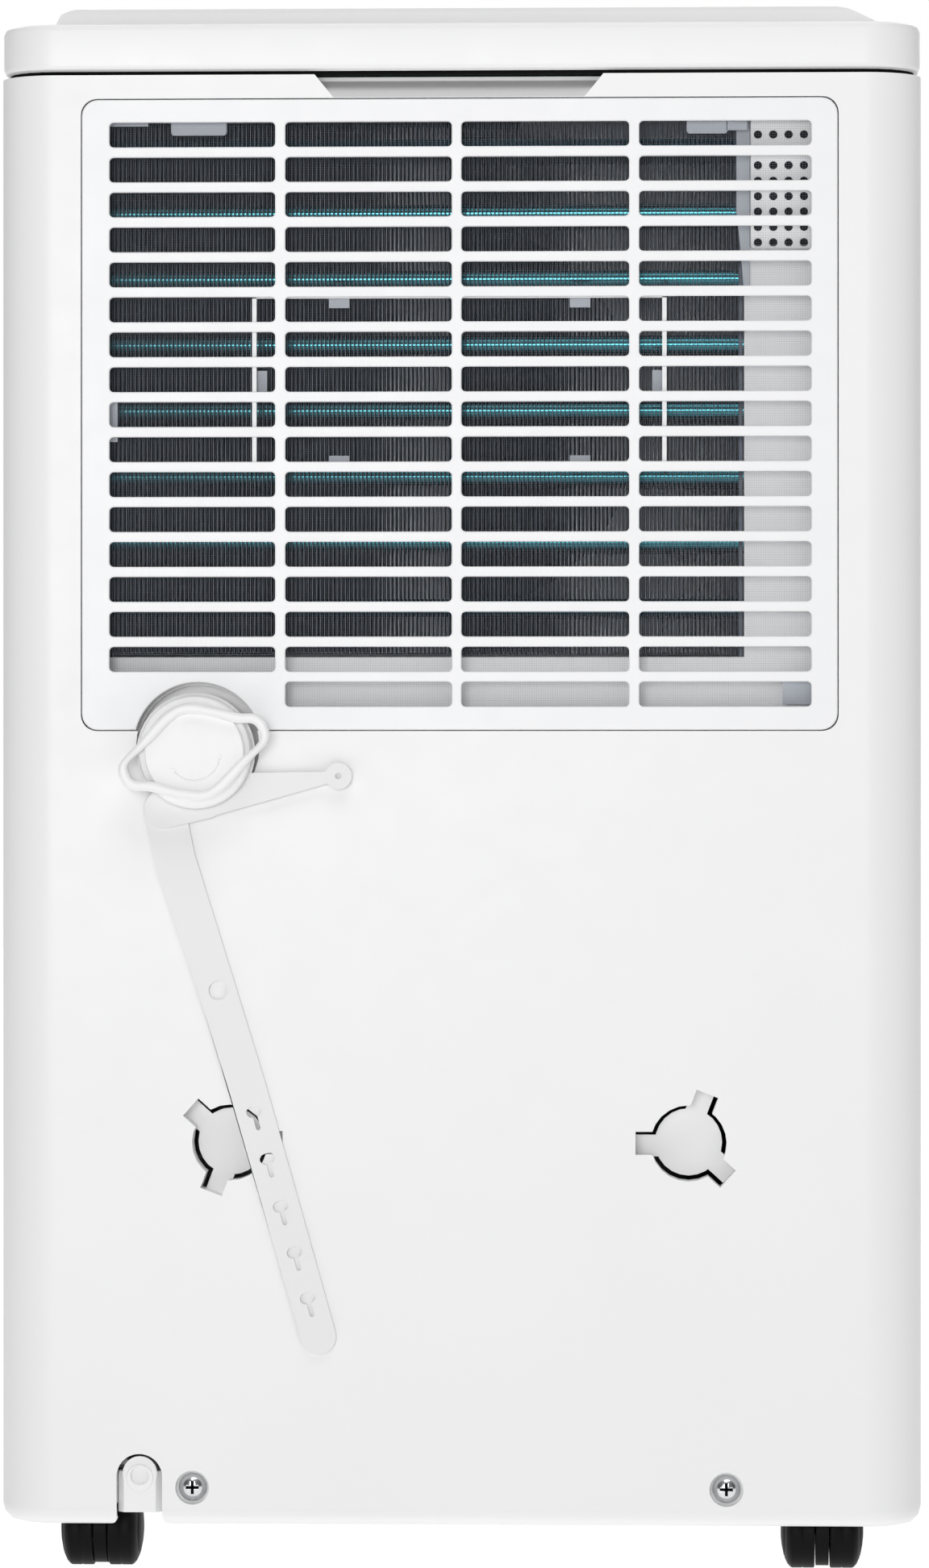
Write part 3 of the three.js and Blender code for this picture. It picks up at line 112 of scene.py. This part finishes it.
MATERIALS = {
    "cabinet_white": surface("white_abs", (0.86, 0.86, 0.86), 0.36, mottle=0.006, bump=0.02, IOR=1.5),
    "grille_white": surface("grille_abs", (0.862, 0.865, 0.875), 0.36, mottle=0.006, bump=0.02, IOR=1.5),
    # The inner parts' white plastic, made whiter than the cabinet's: painted light for the shaded cavities
    # behind the grille.
    "inner_white": surface("inner_abs_painted_light", (0.93, 0.93, 0.935), 0.5, mottle=0.02, bump=0.05),
    "natural_pp": surface("milky_polypropylene", (0.88, 0.88, 0.88), 0.4, mottle=0.01, bump=0.03,
                          Transmission_Weight=0.08, IOR=1.35),
    "smoked_panel": surface("smoked_acrylic", (0.012, 0.013, 0.016), 0.08, mottle=0.1, spread=0.02,
                            bump=0.005, Coat_Weight=0.6, Coat_Roughness=0.04),
    "clear_window": surface("clear_polycarbonate", (0.85, 0.90, 0.92), 0.06, mottle=0.01, spread=0.02,
                            bump=0.005, Transmission_Weight=0.95, IOR=1.58),
    "black_plastic": surface("black_nylon", (0.002, 0.002, 0.002), 0.5, mottle=0.2, grain=1500, bump=0.08,
                             Specular_IOR_Level=0.12),
    "foam_black": surface("foam", (0.004, 0.004, 0.005), 0.95, mottle=0.4, grain=2200, bump=0.6,
                          Specular_IOR_Level=0.2),
    "seal_rubber": surface("seal_rubber", (0.02, 0.02, 0.02), 0.6, mottle=0.2, bump=0.1),
    "mesh_dark": surface("pale_netting", (0.30, 0.33, 0.39), 0.5, mottle=0.05, bump=0.0),
    # The fins' blue coating, made near black: partly their own colour, partly painted shade of the deep
    # coil.
    "fin_blue": surface("blue_fins_and_shade", (0.022, 0.034, 0.058), 0.32, metallic=0.2, mottle=0.3, cloud=60,
                        bump=0.05),
    "fin_plain": surface("plain_fins", (0.62, 0.63, 0.65), 0.36, metallic=0.9, mottle=0.08, cloud=60,
                         bump=0.05),
    "copper": surface("copper_tube", (0.66, 0.32, 0.19), 0.28, metallic=1.0, mottle=0.12, cloud=40,
                      bump=0.05),
    "steel_bright": surface("plated_steel", (0.72, 0.73, 0.74), 0.2, metallic=1.0, mottle=0.05, cloud=80,
                            bump=0.05),
    "steel_painted": surface("painted_steel", (0.018, 0.019, 0.021), 0.4, mottle=0.15, bump=0.15),
    "board_green": surface("circuit_board", (0.02, 0.16, 0.06), 0.4, mottle=0.2, cloud=120, bump=0.1),
}
# Finishes seen on single pieces, in place of their slot's own.
# The evaporator's tubes: teal metallic, a painted reflection of the blue fins around them on what is copper
# tube.
TUBE_TEAL_REFLECTION = surface("tube_painted_teal_reflection", (0.06, 0.30, 0.36), 0.14, metallic=0.8, mottle=0.1, spread=0.04,
                    cloud=60, bump=0.05)
# The condenser's tubes: copper far darker than bare copper.
DARK_COPPER = surface("dark_copper", (0.10, 0.055, 0.04), 0.4, metallic=0.8, mottle=0.2, cloud=60, bump=0.05)
# White plastic tabs, edges and flange behind the netting, painted grey: painted shade on parts that are as
# white as the inner ones.
WHITE_IN_PAINTED_SHADE = surface("white_plastic_painted_shade", (0.50, 0.53, 0.58), 0.45, mottle=0.03, bump=0.03)


# ---- Mesh helpers ----
def new_object(name, mesh):
    made = bpy.data.objects.new(name, mesh)
    bpy.context.scene.collection.objects.link(made)
    return made


def object_from(name, vertices, faces):
    """An object with a mesh of these vertices and faces."""
    mesh = bpy.data.meshes.new(name)
    mesh.from_pydata([tuple(v) for v in vertices], [], faces)
    return new_object(name, mesh)


def join(name, pieces):
    """One object from several that share the world frame."""
    whole = bmesh.new()
    for piece in pieces:
        copy = piece.data.copy()
        copy.transform(piece.matrix_world)
        whole.from_mesh(copy)
        bpy.data.meshes.remove(copy)
        bpy.data.objects.remove(piece)
    mesh = bpy.data.meshes.new(name)
    whole.to_mesh(mesh)
    whole.free()
    return new_object(name, mesh)


def smooth(piece, angle=35):
    """Shades the piece smooth, but for edges sharper than the angle in degrees."""
    piece.data.shade_smooth()
    piece.data.set_sharp_from_angle(angle=math.radians(angle))
    return piece


def dress(piece, slot, body=None, replaces=(), finish=None):
    """Gives a piece its slot's material, or its own finish, and makes it ride on a body."""
    piece.data.materials.clear()
    piece.data.materials.append(finish or MATERIALS[slot])
    if body:
        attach(piece, body)
    if replaces:
        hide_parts(*replaces)
    return piece


def rounded_rectangle(x0, x1, z0, z1, radius, steps=5):
    """The points of a rectangle with round corners, counter-clockwise as seen from the rear."""
    points = []
    corners = [(x1 - radius, z0 + radius, -90), (x1 - radius, z1 - radius, 0),
               (x0 + radius, z1 - radius, 90), (x0 + radius, z0 + radius, 180)]
    for cx, cz, start in corners:
        points += arc(cx, cz, radius, start, start + 90, steps)
    return points


def arc(cx, cz, radius, start, end, steps):
    """Points along a circle, from one angle to another in degrees."""
    angles = [math.radians(start + (end - start) * i / steps) for i in range(steps + 1)]
    return [(cx + radius * math.cos(a), cz + radius * math.sin(a)) for a in angles]


def plate(name, outlines, back, front, rounding, segments=2):
    """A flat sheet from y = back to y = front, towards the rear, with its edges rounded over.
    It has the first outline's shape, and the others are cut out of it."""
    curve = bpy.data.curves.new(name, "CURVE")
    curve.dimensions = "2D"
    curve.fill_mode = "BOTH"
    for points in outlines:
        spline = curve.splines.new("POLY")
        spline.points.add(len(points) - 1)
        for point, (u, v) in zip(spline.points, points):
            point.co = (u, v, 0, 1)
        spline.use_cyclic_u = True
    thickness = abs(front - back)
    curve.extrude = thickness / 2 - rounding
    curve.bevel_depth = rounding
    curve.bevel_resolution = segments
    curve.offset = -rounding
    flat = bpy.data.objects.new(name, curve)
    bpy.context.scene.collection.objects.link(flat)
    bpy.context.view_layer.update()
    mesh = bpy.data.meshes.new_from_object(flat.evaluated_get(bpy.context.evaluated_depsgraph_get()))
    bpy.data.objects.remove(flat)
    middle = (back + front) / 2
    mesh.transform(Matrix(((1, 0, 0, 0), (0, 0, -1, middle), (0, 1, 0, 0), (0, 0, 0, 1))))
    mesh.materials.clear()
    return new_object(name, mesh)


def turned(name, profile, centre, axis="y", segments=48):
    """A profile of (radius, distance along the axis) turned about the x or y axis through centre."""
    vertices, faces = [], []
    for r, h in profile:
        for i in range(segments):
            angle = 2 * math.pi * i / segments
            u, v = r * math.cos(angle), r * math.sin(angle)
            local = (h, u, v) if axis == "x" else (v, h, u)
            vertices.append(Vector(local) + centre)
    for k in range(len(profile) - 1):
        for i in range(segments):
            j = (i + 1) % segments
            near, far = k * segments, (k + 1) * segments
            faces.append((near + i, near + j, far + j, far + i))
    made = object_from(name, vertices, faces)
    tidy_mesh(made)
    return made


def tidy_mesh(piece):
    """Closes poles, drops doubles and faces every face out."""
    work = bmesh.new()
    work.from_mesh(piece.data)
    bmesh.ops.remove_doubles(work, verts=work.verts, dist=1e-6)
    bmesh.ops.dissolve_degenerate(work, edges=work.edges, dist=1e-7)
    bmesh.ops.recalc_face_normals(work, faces=work.faces)
    work.to_mesh(piece.data)
    work.free()


def blocks(name, boxes):
    """Many plain boxes, each ((x0, x1), (y0, y1), (z0, z1)), in one mesh."""
    vertices, faces = [], []
    for (x0, x1), (y0, y1), (z0, z1) in boxes:
        n = len(vertices)
        vertices += [(x, y, z) for x in (x0, x1) for y in (y0, y1) for z in (z0, z1)]
        faces += [tuple(n + k for k in quad) for quad in
                  ((0, 1, 3, 2), (4, 6, 7, 5), (0, 4, 5, 1), (2, 3, 7, 6), (0, 2, 6, 4), (1, 5, 7, 3))]
    return object_from(name, vertices, faces)


def pipe(name, points, radius):
    """A round tube with closed ends along the points."""
    curve = bpy.data.curves.new(name, "CURVE")
    curve.dimensions = "3D"
    curve.bevel_depth = radius
    curve.bevel_resolution = 3
    curve.use_fill_caps = True
    spline = curve.splines.new("POLY")
    spline.points.add(len(points) - 1)
    for target, point in zip(spline.points, points):
        target.co = (*point, 1)
    tube = bpy.data.objects.new(name, curve)
    bpy.context.scene.collection.objects.link(tube)
    bpy.context.view_layer.update()
    mesh = bpy.data.meshes.new_from_object(tube.evaluated_get(bpy.context.evaluated_depsgraph_get()))
    bpy.data.objects.remove(tube)
    return new_object(name, mesh)


# ---- The CAD pieces that keep their shape ----
# Widths of the rounds on sharp edges, in millimetres; every other node takes PLAIN_EDGE.
PLAIN_EDGE = 0.3
SOFT_EDGE = {
    "rear_cabinet": 0.3, "front_cabinet": 0.3, "top_lid": 0.4, "console": 0.6, "bucket_front": 0.4,
    "bucket_tub": 0.6, "bucket_cover": 0.5, "bucket_handle": 0.5, "cord_strap": 0.3, "cap_tether": 0.3,
}


def soften(node, width, angle=38):
    """Breaks a CAD piece's sharp edges with a small round and shades the rest smooth."""
    node.data.shade_smooth()
    weld = node.modifiers.new("weld", "WELD")
    weld.merge_threshold = 0.002 * MM
    flat = node.modifiers.new("flat", "DECIMATE")
    flat.decimate_type = "DISSOLVE"
    flat.angle_limit = math.radians(0.5)
    edge = node.modifiers.new("edge", "BEVEL")
    edge.width = width * MM
    edge.segments = 2
    edge.limit_method = "ANGLE"
    edge.angle_limit = math.radians(angle)
    edge.use_clamp_overlap = True
    edge.harden_normals = False
    even = node.modifiers.new("even", "WEIGHTED_NORMAL")
    even.keep_sharp = False
    even.weight = 80


def dress_cad_nodes():
    """Every CAD node takes its record slot's material and slightly rounded edges."""
    slots = {entry["node"]: entry["material_slot"] for entry in frame["record"]["subparts"]}
    for name, node in NODES.items():
        dress(node, slots[name])
        soften(node, SOFT_EDGE.get(name, PLAIN_EDGE))


# ---- The filter ----
def panel_edge(inset):
    """The filter panel's outline, notched round the drain pocket."""
    low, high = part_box("filter_panel")
    corner = 6.3 * MM - inset
    edge = rounded_rectangle(low.x + inset, high.x - inset, low.z + inset, high.z - inset, corner)
    radius = NOTCH_RADIUS + inset
    meets = math.degrees(math.asin((low.z + inset - POCKET.z) / radius))
    return edge + arc(POCKET.x, POCKET.z, radius, 180 - meets, meets, 24)


def filter_grille():
    """The slotted face with its raised rim; the slot beside the drain pocket is missing."""
    low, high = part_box("filter_panel")
    half = SLOT_HEIGHT / 2
    slots = [rounded_rectangle(left, right, z - half, z + half, SLOT_CORNER)
             for z in SLOT_ROWS for left, right in SLOT_COLUMNS]
    beside_pocket = (len(SLOT_ROWS) - 1) * len(SLOT_COLUMNS)
    slots.pop(beside_pocket)
    face = plate("face", [panel_edge(0)] + slots, low.y + 2.8 * MM, low.y, 0.5 * MM)
    rim = plate("rim", [panel_edge(0), panel_edge(1.8 * MM)], high.y, low.y + 2 * MM, 0.2 * MM, 1)
    grille = smooth(join("filter_grille", [face, rim]), 50)
    dress(grille, "grille_white", "filter", ["filter_panel"])


def filter_latches():
    """The tabs behind the netting that clip its frame under the grille's top edge."""
    netting_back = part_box("filter_mesh")[1].y
    back, front = netting_back + 1.6 * MM, netting_back + 0.3 * MM
    top = 566.5 * MM
    left = rounded_rectangle(-112.7 * MM, -90.9 * MM, 560.4 * MM, top, 1.4 * MM)
    right = rounded_rectangle(88.4 * MM, 104.5 * MM, 560.5 * MM, top, 1.4 * MM)
    tabs = [plate("tab", [outline], back, front, 0.25 * MM) for outline in (left, right)]
    edges = [((-137.3 * MM, -121.6 * MM), (front, back), (564.1 * MM, top)),
             ((104 * MM, 112 * MM), (front, back), (561.8 * MM, top)),
             ((-137.3 * MM, -133.6 * MM), (front, back), (441 * MM, 460 * MM)),
             ((125.8 * MM, 137.5 * MM), (front, back), (338.5 * MM, 347.5 * MM))]
    tabs.append(blocks("edges", edges))
    # The tabs are white plastic; their grey is painted shade.
    dress(smooth(join("filter_latches", tabs), 40), "inner_white", "filter", finish=WHITE_IN_PAINTED_SHADE)


def filter_frame():
    """Two ribs in front of the netting, and the small tabs behind it that hold its edge."""
    low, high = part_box("filter_frame")
    rib = 1.7 * MM
    ribs = [((x, x + rib), (low.y, high.y), (low.z, high.z)) for x in (low.x, high.x - rib)]
    ribs += [((low.x, high.x), (low.y, high.y), (z, z + rib)) for z in (low.z, high.z - rib)]
    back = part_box("filter_mesh")[1].y
    behind = (back + 0.3 * MM, back + 1.6 * MM)
    tabs = []
    for x in (-47 * MM, 47 * MM):
        for z in (low.z + 1 * MM, high.z - 5.2 * MM):
            tabs.append(((x - 4 * MM, x + 4 * MM), behind, (z, z + 4.2 * MM)))
    for near, far in ((low.x + 1.7 * MM, low.x + 5.6 * MM), (high.x - 5.6 * MM, high.x - 1.7 * MM)):
        tabs.append(((near, far), behind, (459.5 * MM, 468.5 * MM)))
    dress(blocks("filter_ribs", ribs), "grille_white", "filter", ["filter_frame"])
    # The small tabs are white plastic; their grey is painted shade.
    dress(blocks("filter_tabs", tabs), "inner_white", "filter", finish=WHITE_IN_PAINTED_SHADE)


def netting():
    """Square woven threads; the ones that would cross the drain pocket end at its edge."""
    low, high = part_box("filter_mesh")
    pitch, thread = 0.9 * MM, 0.022 * MM
    y = (low.y + high.y) / 2
    strands = []
    for i in range(int((high.x - low.x) / pitch) + 1):
        x = low.x + 0.2 * MM + i * pitch
        across = abs(x - POCKET.x)
        bottom = low.z
        if across < NOTCH_RADIUS:
            bottom = POCKET.z + math.sqrt(NOTCH_RADIUS**2 - across**2)
        strands.append(((x - thread, x + thread), (y - thread, y + thread), (bottom, high.z)))
    for i in range(int((high.z - low.z) / pitch) + 1):
        z = low.z + 0.2 * MM + i * pitch
        rise = abs(z - POCKET.z)
        spans = [(low.x, high.x)]
        if rise < NOTCH_RADIUS:
            half = math.sqrt(NOTCH_RADIUS**2 - rise**2)
            spans = [(low.x, POCKET.x - half), (POCKET.x + half, high.x)]
        strands += [(span, (y - 2 * thread, y), (z - thread, z + thread)) for span in spans]
    dress(blocks("filter_netting", strands), "mesh_dark", "filter", ["filter_mesh"])


# ---- Behind the filter ----
def heat_exchanger(name, node, fin_slot, pitch, tube_finish):
    """Fins pressed on eight rows of tube, joined by return bends outside two end plates."""
    low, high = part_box(node)
    left, right = -139 * MM, 109.6 * MM
    bottom, top = low.z + 1.8 * MM, high.z - 2 * MM
    count = int((right - left) / pitch)
    starts = [left + 1.5 * MM + i * pitch for i in range(count)]
    fins = [((x, x + 0.2 * MM), (low.y, high.y), (bottom, top)) for x in starts]
    dress(blocks(name + "_fins", fins), fin_slot, "cabinet", [node])

    middle = (low.y + high.y) / 2
    radius = 3.6 * MM
    tubes = [pipe("tube", [(left - 1.5 * MM, middle, z), (right + 1.5 * MM, middle, z)], radius)
             for z in TUBE_ROWS]
    for i, row in enumerate(TUBE_ROWS[:-1]):
        side, reach = (left - 1 * MM, -9.2 * MM) if i % 2 == 0 else (right + 1 * MM, 9.2 * MM)
        half = (TUBE_ROWS[i + 1] - row) / 2
        bend = [(side + reach * math.cos(a), middle, row + half + half * math.sin(a))
                for a in [math.radians(-90 + 18 * k) for k in range(11)]]
        tubes.append(pipe("bend", bend, radius))
    dress(smooth(join(name + "_tubes", tubes), 40), "copper", "cabinet", finish=tube_finish)

    collars = [turned("collar", [(3.7 * MM, -0.3 * MM), (4.4 * MM, 0), (3.7 * MM, 0.3 * MM)],
                      Vector((x, middle, z)), "x", 10) for z in TUBE_ROWS for x in (left, right)]
    dress(smooth(join(name + "_collars", collars), 40), "steel_bright", "cabinet")
    sheets = [((x, x + 1.2 * MM), (low.y, high.y), (low.z, high.z))
              for x in (left - 0.6 * MM, right - 0.6 * MM)]
    dress(blocks(name + "_end_plates", sheets), fin_slot, "cabinet")


def sensor_cover():
    """The vented cover beside the coil, with the flange that laps the coil's end plate, and a black sheet
    behind the vents that is painted shade in the holes.
    """
    low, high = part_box("sensor_cover")
    outline = rounded_rectangle(low.x, high.x, low.z, high.z, 1.5 * MM)
    inside = rounded_rectangle(low.x + 1 * MM, high.x - 1 * MM, low.z + 1 * MM, high.z - 1 * MM, 0.5 * MM)
    vents = [arc(low.x + (2.9 + 5.97 * i) * MM, (560.2 - 6 * j) * MM, 1.6 * MM, 0, 345, 23)
             for i in range(4) for j in range(8)]
    face = plate("face", [outline] + vents, low.y + 1.3 * MM, low.y, 0.25 * MM)
    walls = plate("walls", [outline, inside], high.y, low.y + 1 * MM, 0.1 * MM)
    flange = plate("flange", [[(107.8 * MM, 567 * MM), (107.8 * MM, 531 * MM), (109.5 * MM, 515 * MM),
                               (110.8 * MM, 498 * MM), (113.1 * MM, 498 * MM), (113.1 * MM, 567 * MM)]],
                   high.y, high.y - 1.2 * MM, 0.2 * MM)
    dress(smooth(join("sensor_cover_vented", [face, walls]), 45), "inner_white", "cabinet",
          ["sensor_cover"])
    # The flange is white plastic; its grey is painted shade.
    dress(smooth(flange), "inner_white", "cabinet", finish=WHITE_IN_PAINTED_SHADE)
    # A black sheet just behind the vents: painted shade that darkens the holes.
    vent_shade = blocks("sensor_vent_shade", [((low.x + 0.8 * MM, high.x - 1.5 * MM),
                                       (low.y + 1.35 * MM, low.y + 1.6 * MM),
                                       (low.z + 1.5 * MM, high.z - 1.5 * MM))])
    dress(vent_shade, "foam_black", "cabinet")


# ---- The drain cap ----
# Half of the grip's two edges, in millimetres from the cap's axis.
GRIP_OUTER = [(0, 19), (10, 15.9), (19.9, 11.7), (26.4, 10),
              (29.7, 5.6), (29.2, -0.8), (20.7, -7.4), (9.3, -16.2)]
GRIP_INNER = [(0, 15.2), (9.6, 12.3), (17.6, 8.3), (24.4, 6.6),
              (26.4, 2.6), (25, -1.2), (15.6, -6.9), (6, -13.6)]
GRIP_TILT = math.radians(10.7)


def through(points, steps=5):
    """A closed smooth line through the points (a Catmull-Rom spline)."""
    line = []
    count = len(points)
    for i in range(count):
        before, start, end, after = (Vector(points[(i + k) % count]) for k in (-1, 0, 1, 2))
        for k in range(steps):
            t = k / steps
            line.append(0.5 * (2 * start + (end - before) * t
                               + (2 * before - 5 * start + 4 * end - after) * t**2
                               + (3 * start - before - 3 * end + after) * t**3))
    return line


def grip_outline(half):
    """Half of the grip's edge and its point reflection, tilted and moved to the cap's place."""
    loop = through(half + [(-u, -v) for u, v in half])
    c, s = math.cos(GRIP_TILT), math.sin(GRIP_TILT)
    return [(DRAIN.x + (u * c - v * s) * MM, DRAIN.z + (u * s + v * c) * MM) for u, v in loop]


def drain_cap():
    """The cap's turned body, its grip loop and the arc arrow on its face."""
    low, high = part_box("drain_cap")
    front, sleeve_back = low.y, high.y
    face = front + 3.4 * MM
    skirt_back = front + 11 * MM
    body = turned("body", [(r * MM, y) for r, y in (
        (0, face), (18.9, face), (19.4, face + 0.5 * MM), (19.4, face + 2 * MM), (21.3, face + 2.2 * MM),
        (21.9, face + 3 * MM), (21.9, skirt_back), (16.2, skirt_back), (16.2, sleeve_back),
        (13.8, sleeve_back), (13.8, face + 4.1 * MM), (0, face + 4.1 * MM))], DRAIN, segments=96)
    edges = [grip_outline(GRIP_OUTER), grip_outline(GRIP_INNER)]
    grip = plate("grip", edges, face + 4 * MM, front, 1.2 * MM, 3)

    centre = (DRAIN.x, DRAIN.z - 1 * MM)
    curve = arc(*centre, 9.9 * MM, 221, 353, 24)
    arrow = pipe("arrow", [(x, face - 0.02 * MM, z) for x, z in curve], 0.25 * MM)
    heads = []
    for (x, z), (before_x, before_z) in ((curve[-1], curve[-2]), (curve[0], curve[1])):
        ahead = Vector((x - before_x, z - before_z)).normalized() * 1.9 * MM
        across = Vector((-ahead.y, ahead.x)) * 0.55
        tip = [(x + ahead.x, z + ahead.y), (x - across.x, z - across.y), (x + across.x, z + across.y)]
        heads.append(plate("head", [tip], face + 0.3 * MM, face - 0.25 * MM, 0.08 * MM))
    cap = smooth(join("drain_cap_body", [body, grip, arrow] + heads), 40)
    dress(cap, "cabinet_white", "drain_cap", ["drain_cap"])


# ---- The screws ----
def screw_recess_shade():
    """Painted shade: a black block on the floor of each screw's cross recess, darkening the recess."""
    shade_floors = []
    for name in ("rear_screw_left", "rear_screw_right"):
        low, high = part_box(name)
        x, z = (low.x + high.x) / 2, (low.z + high.z) / 2
        depth = (low.y + 1.2 * MM, low.y + 1.45 * MM)
        arm, half = 2.4 * MM, 0.5 * MM
        shade_floors += [((x - arm, x + arm), depth, (z - half, z + half)),
                   ((x - half, x + half), depth, (z - arm, z + arm))]
    dress(blocks("screw_recess_shade", shade_floors), "foam_black", "cabinet")


# ---- Casters ----
# Half a wheel pair's profile, in millimetres, for a wheel 15 in radius and 16 to its outer face.
WHEEL_RADIUS, WHEEL_REACH = 15, 16
WHEEL_PROFILE = [(0, 3), (5, 3), (5, 4.4), (13, 4.4), (13, 3), (14.6, 3), (15, 3.4), (15, 7.2),
                 (14.8, 7.6), (15, 8), (15, 11.6), (14.6, 12.3), (13.4, 13.4), (11, 14.5),
                 (10.5, 14.4), (10.1, 14.8), (6.2, 15.6), (3, 15.95), (0, 16)]
AXLE = [(0, -4 * MM), (2 * MM, -4 * MM), (2 * MM, 4 * MM), (0, 4 * MM)]


def caster_wheels(place):
    """Two wheels, mirror images of each other, on one axle."""
    node = "caster_wheels_" + place
    low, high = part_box(node)
    centre = (low + high) / 2
    radius = (high.z - low.z) / 2
    half = (high.x - low.x) / 2
    sides = []
    for side in (1, -1):
        profile = [(r * radius / WHEEL_RADIUS, side * h * half / WHEEL_REACH) for r, h in WHEEL_PROFILE]
        sides.append(turned("wheel", profile, centre, "x", 48))
    sides.append(turned("axle", AXLE, centre, "x", 20))
    wheels = smooth(join("wheels_" + place, sides), 40)
    dress(wheels, "black_plastic", f"caster_{place}_wheels", [node])


# ---- Floor, light and camera ----
def floor():
    """A white floor that shines a little, so that it meets the white world without an edge."""
    half = 9
    ground = object_from("floor", [(-half, -half, 0), (half, -half, 0), (half, half, 0), (-half, half, 0)],
                         [(0, 1, 2, 3)])
    ground.data.materials.append(surface("floor", (0.08, 0.08, 0.08), 0.9, mottle=0.004, bump=0.0,
                                         Emission_Color=(1, 1, 1, 1), Emission_Strength=0.96))


def area_light(name, place, target, size, power):
    lamp = bpy.data.lights.new(name, "AREA")
    lamp.shape = "RECTANGLE"
    lamp.size, lamp.size_y = size
    lamp.energy = power
    holder = bpy.data.objects.new(name, lamp)
    bpy.context.scene.collection.objects.link(holder)
    holder.location = place
    holder.rotation_euler = (Vector(target) - Vector(place)).to_track_quat("-Z", "Y").to_euler()


def studio_world():
    """Plain white to the camera. As a light it is dimmer towards the two sides and behind the camera."""
    world = bpy.data.worlds.new("studio")
    world.use_nodes = True
    tree = world.node_tree
    background = tree.nodes["Background"]
    background.inputs["Color"].default_value = (1, 1, 1, 1)
    direction = tree.nodes.new("ShaderNodeTexCoord").outputs["Generated"]
    split = tree.nodes.new("ShaderNodeSeparateXYZ")
    tree.links.new(direction, split.inputs["Vector"])

    def fade(value, low, high, start, end):
        node = tree.nodes.new("ShaderNodeMapRange")
        node.inputs["From Min"].default_value = low
        node.inputs["From Max"].default_value = high
        node.inputs["To Min"].default_value = start
        node.inputs["To Max"].default_value = end
        tree.links.new(value, node.inputs["Value"])
        return node.outputs["Result"]

    sideways = tree.nodes.new("ShaderNodeMath")
    sideways.operation = "ABSOLUTE"
    tree.links.new(split.outputs["X"], sideways.inputs[0])
    strength = tree.nodes.new("ShaderNodeMath")
    strength.operation = "MULTIPLY"
    tree.links.new(fade(sideways.outputs["Value"], 0.25, 0.8, 1.0, 0.2), strength.inputs[0])
    tree.links.new(fade(split.outputs["Y"], -0.7, 0.2, 0.25, 1.0), strength.inputs[1])
    seen = tree.nodes.new("ShaderNodeMath")
    seen.operation = "MAXIMUM"
    tree.links.new(strength.outputs["Value"], seen.inputs[0])
    tree.links.new(tree.nodes.new("ShaderNodeLightPath").outputs["Is Camera Ray"], seen.inputs[1])
    tree.links.new(seen.outputs["Value"], background.inputs["Strength"])
    bpy.context.scene.world = world


def lights():
    middle = (0, 0, 0.31)
    area_light("front_softbox", (-0.35, -3.2, 0.6), middle, (1.0, 0.8), 23.6)
    area_light("top_softbox", (0.25, -1.3, 2.5), middle, (1.6, 1.0), 16)
    area_light("back_softbox", (0.2, 2.2, 1.6), middle, (2.0, 1.6), 8)


def camera():
    """Square on to the rear face and a couple of degrees to its right."""
    lens = bpy.data.cameras.new("camera")
    lens.sensor_fit = "VERTICAL"
    lens.sensor_height = 36
    lens.sensor_width = 24
    distance, field_height = 2.4, 0.60925
    lens.lens = lens.sensor_height * distance / field_height
    swing = math.radians(2.1)
    target = Vector((2.2 * MM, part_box("rear_cabinet")[0].y, 307.4 * MM))
    holder = bpy.data.objects.new("camera", lens)
    bpy.context.scene.collection.objects.link(holder)
    holder.location = target + distance * Vector((math.sin(swing), -math.cos(swing), 0))
    holder.rotation_euler = (math.radians(90), 0, swing)
    bpy.context.scene.camera = holder


dress_cad_nodes()
filter_grille()
filter_latches()
filter_frame()
netting()
# The evaporator's teal tubes are a painted reflection of its blue fins.
heat_exchanger("evaporator", "evaporator_coil", "fin_blue", 1.62 * MM, TUBE_TEAL_REFLECTION)
heat_exchanger("condenser", "condenser_coil", "fin_plain", 1.6 * MM, DARK_COPPER)
sensor_cover()
drain_cap()
# Painted shade in the screws' cross recesses.
screw_recess_shade()
for spot in ("rear_left", "rear_right", "front_left", "front_right"):
    caster_wheels(spot)
floor()
studio_world()
lights()
camera()
bpy.context.scene.view_settings.view_transform = "Standard"
bpy.context.scene.view_settings.look = "None"
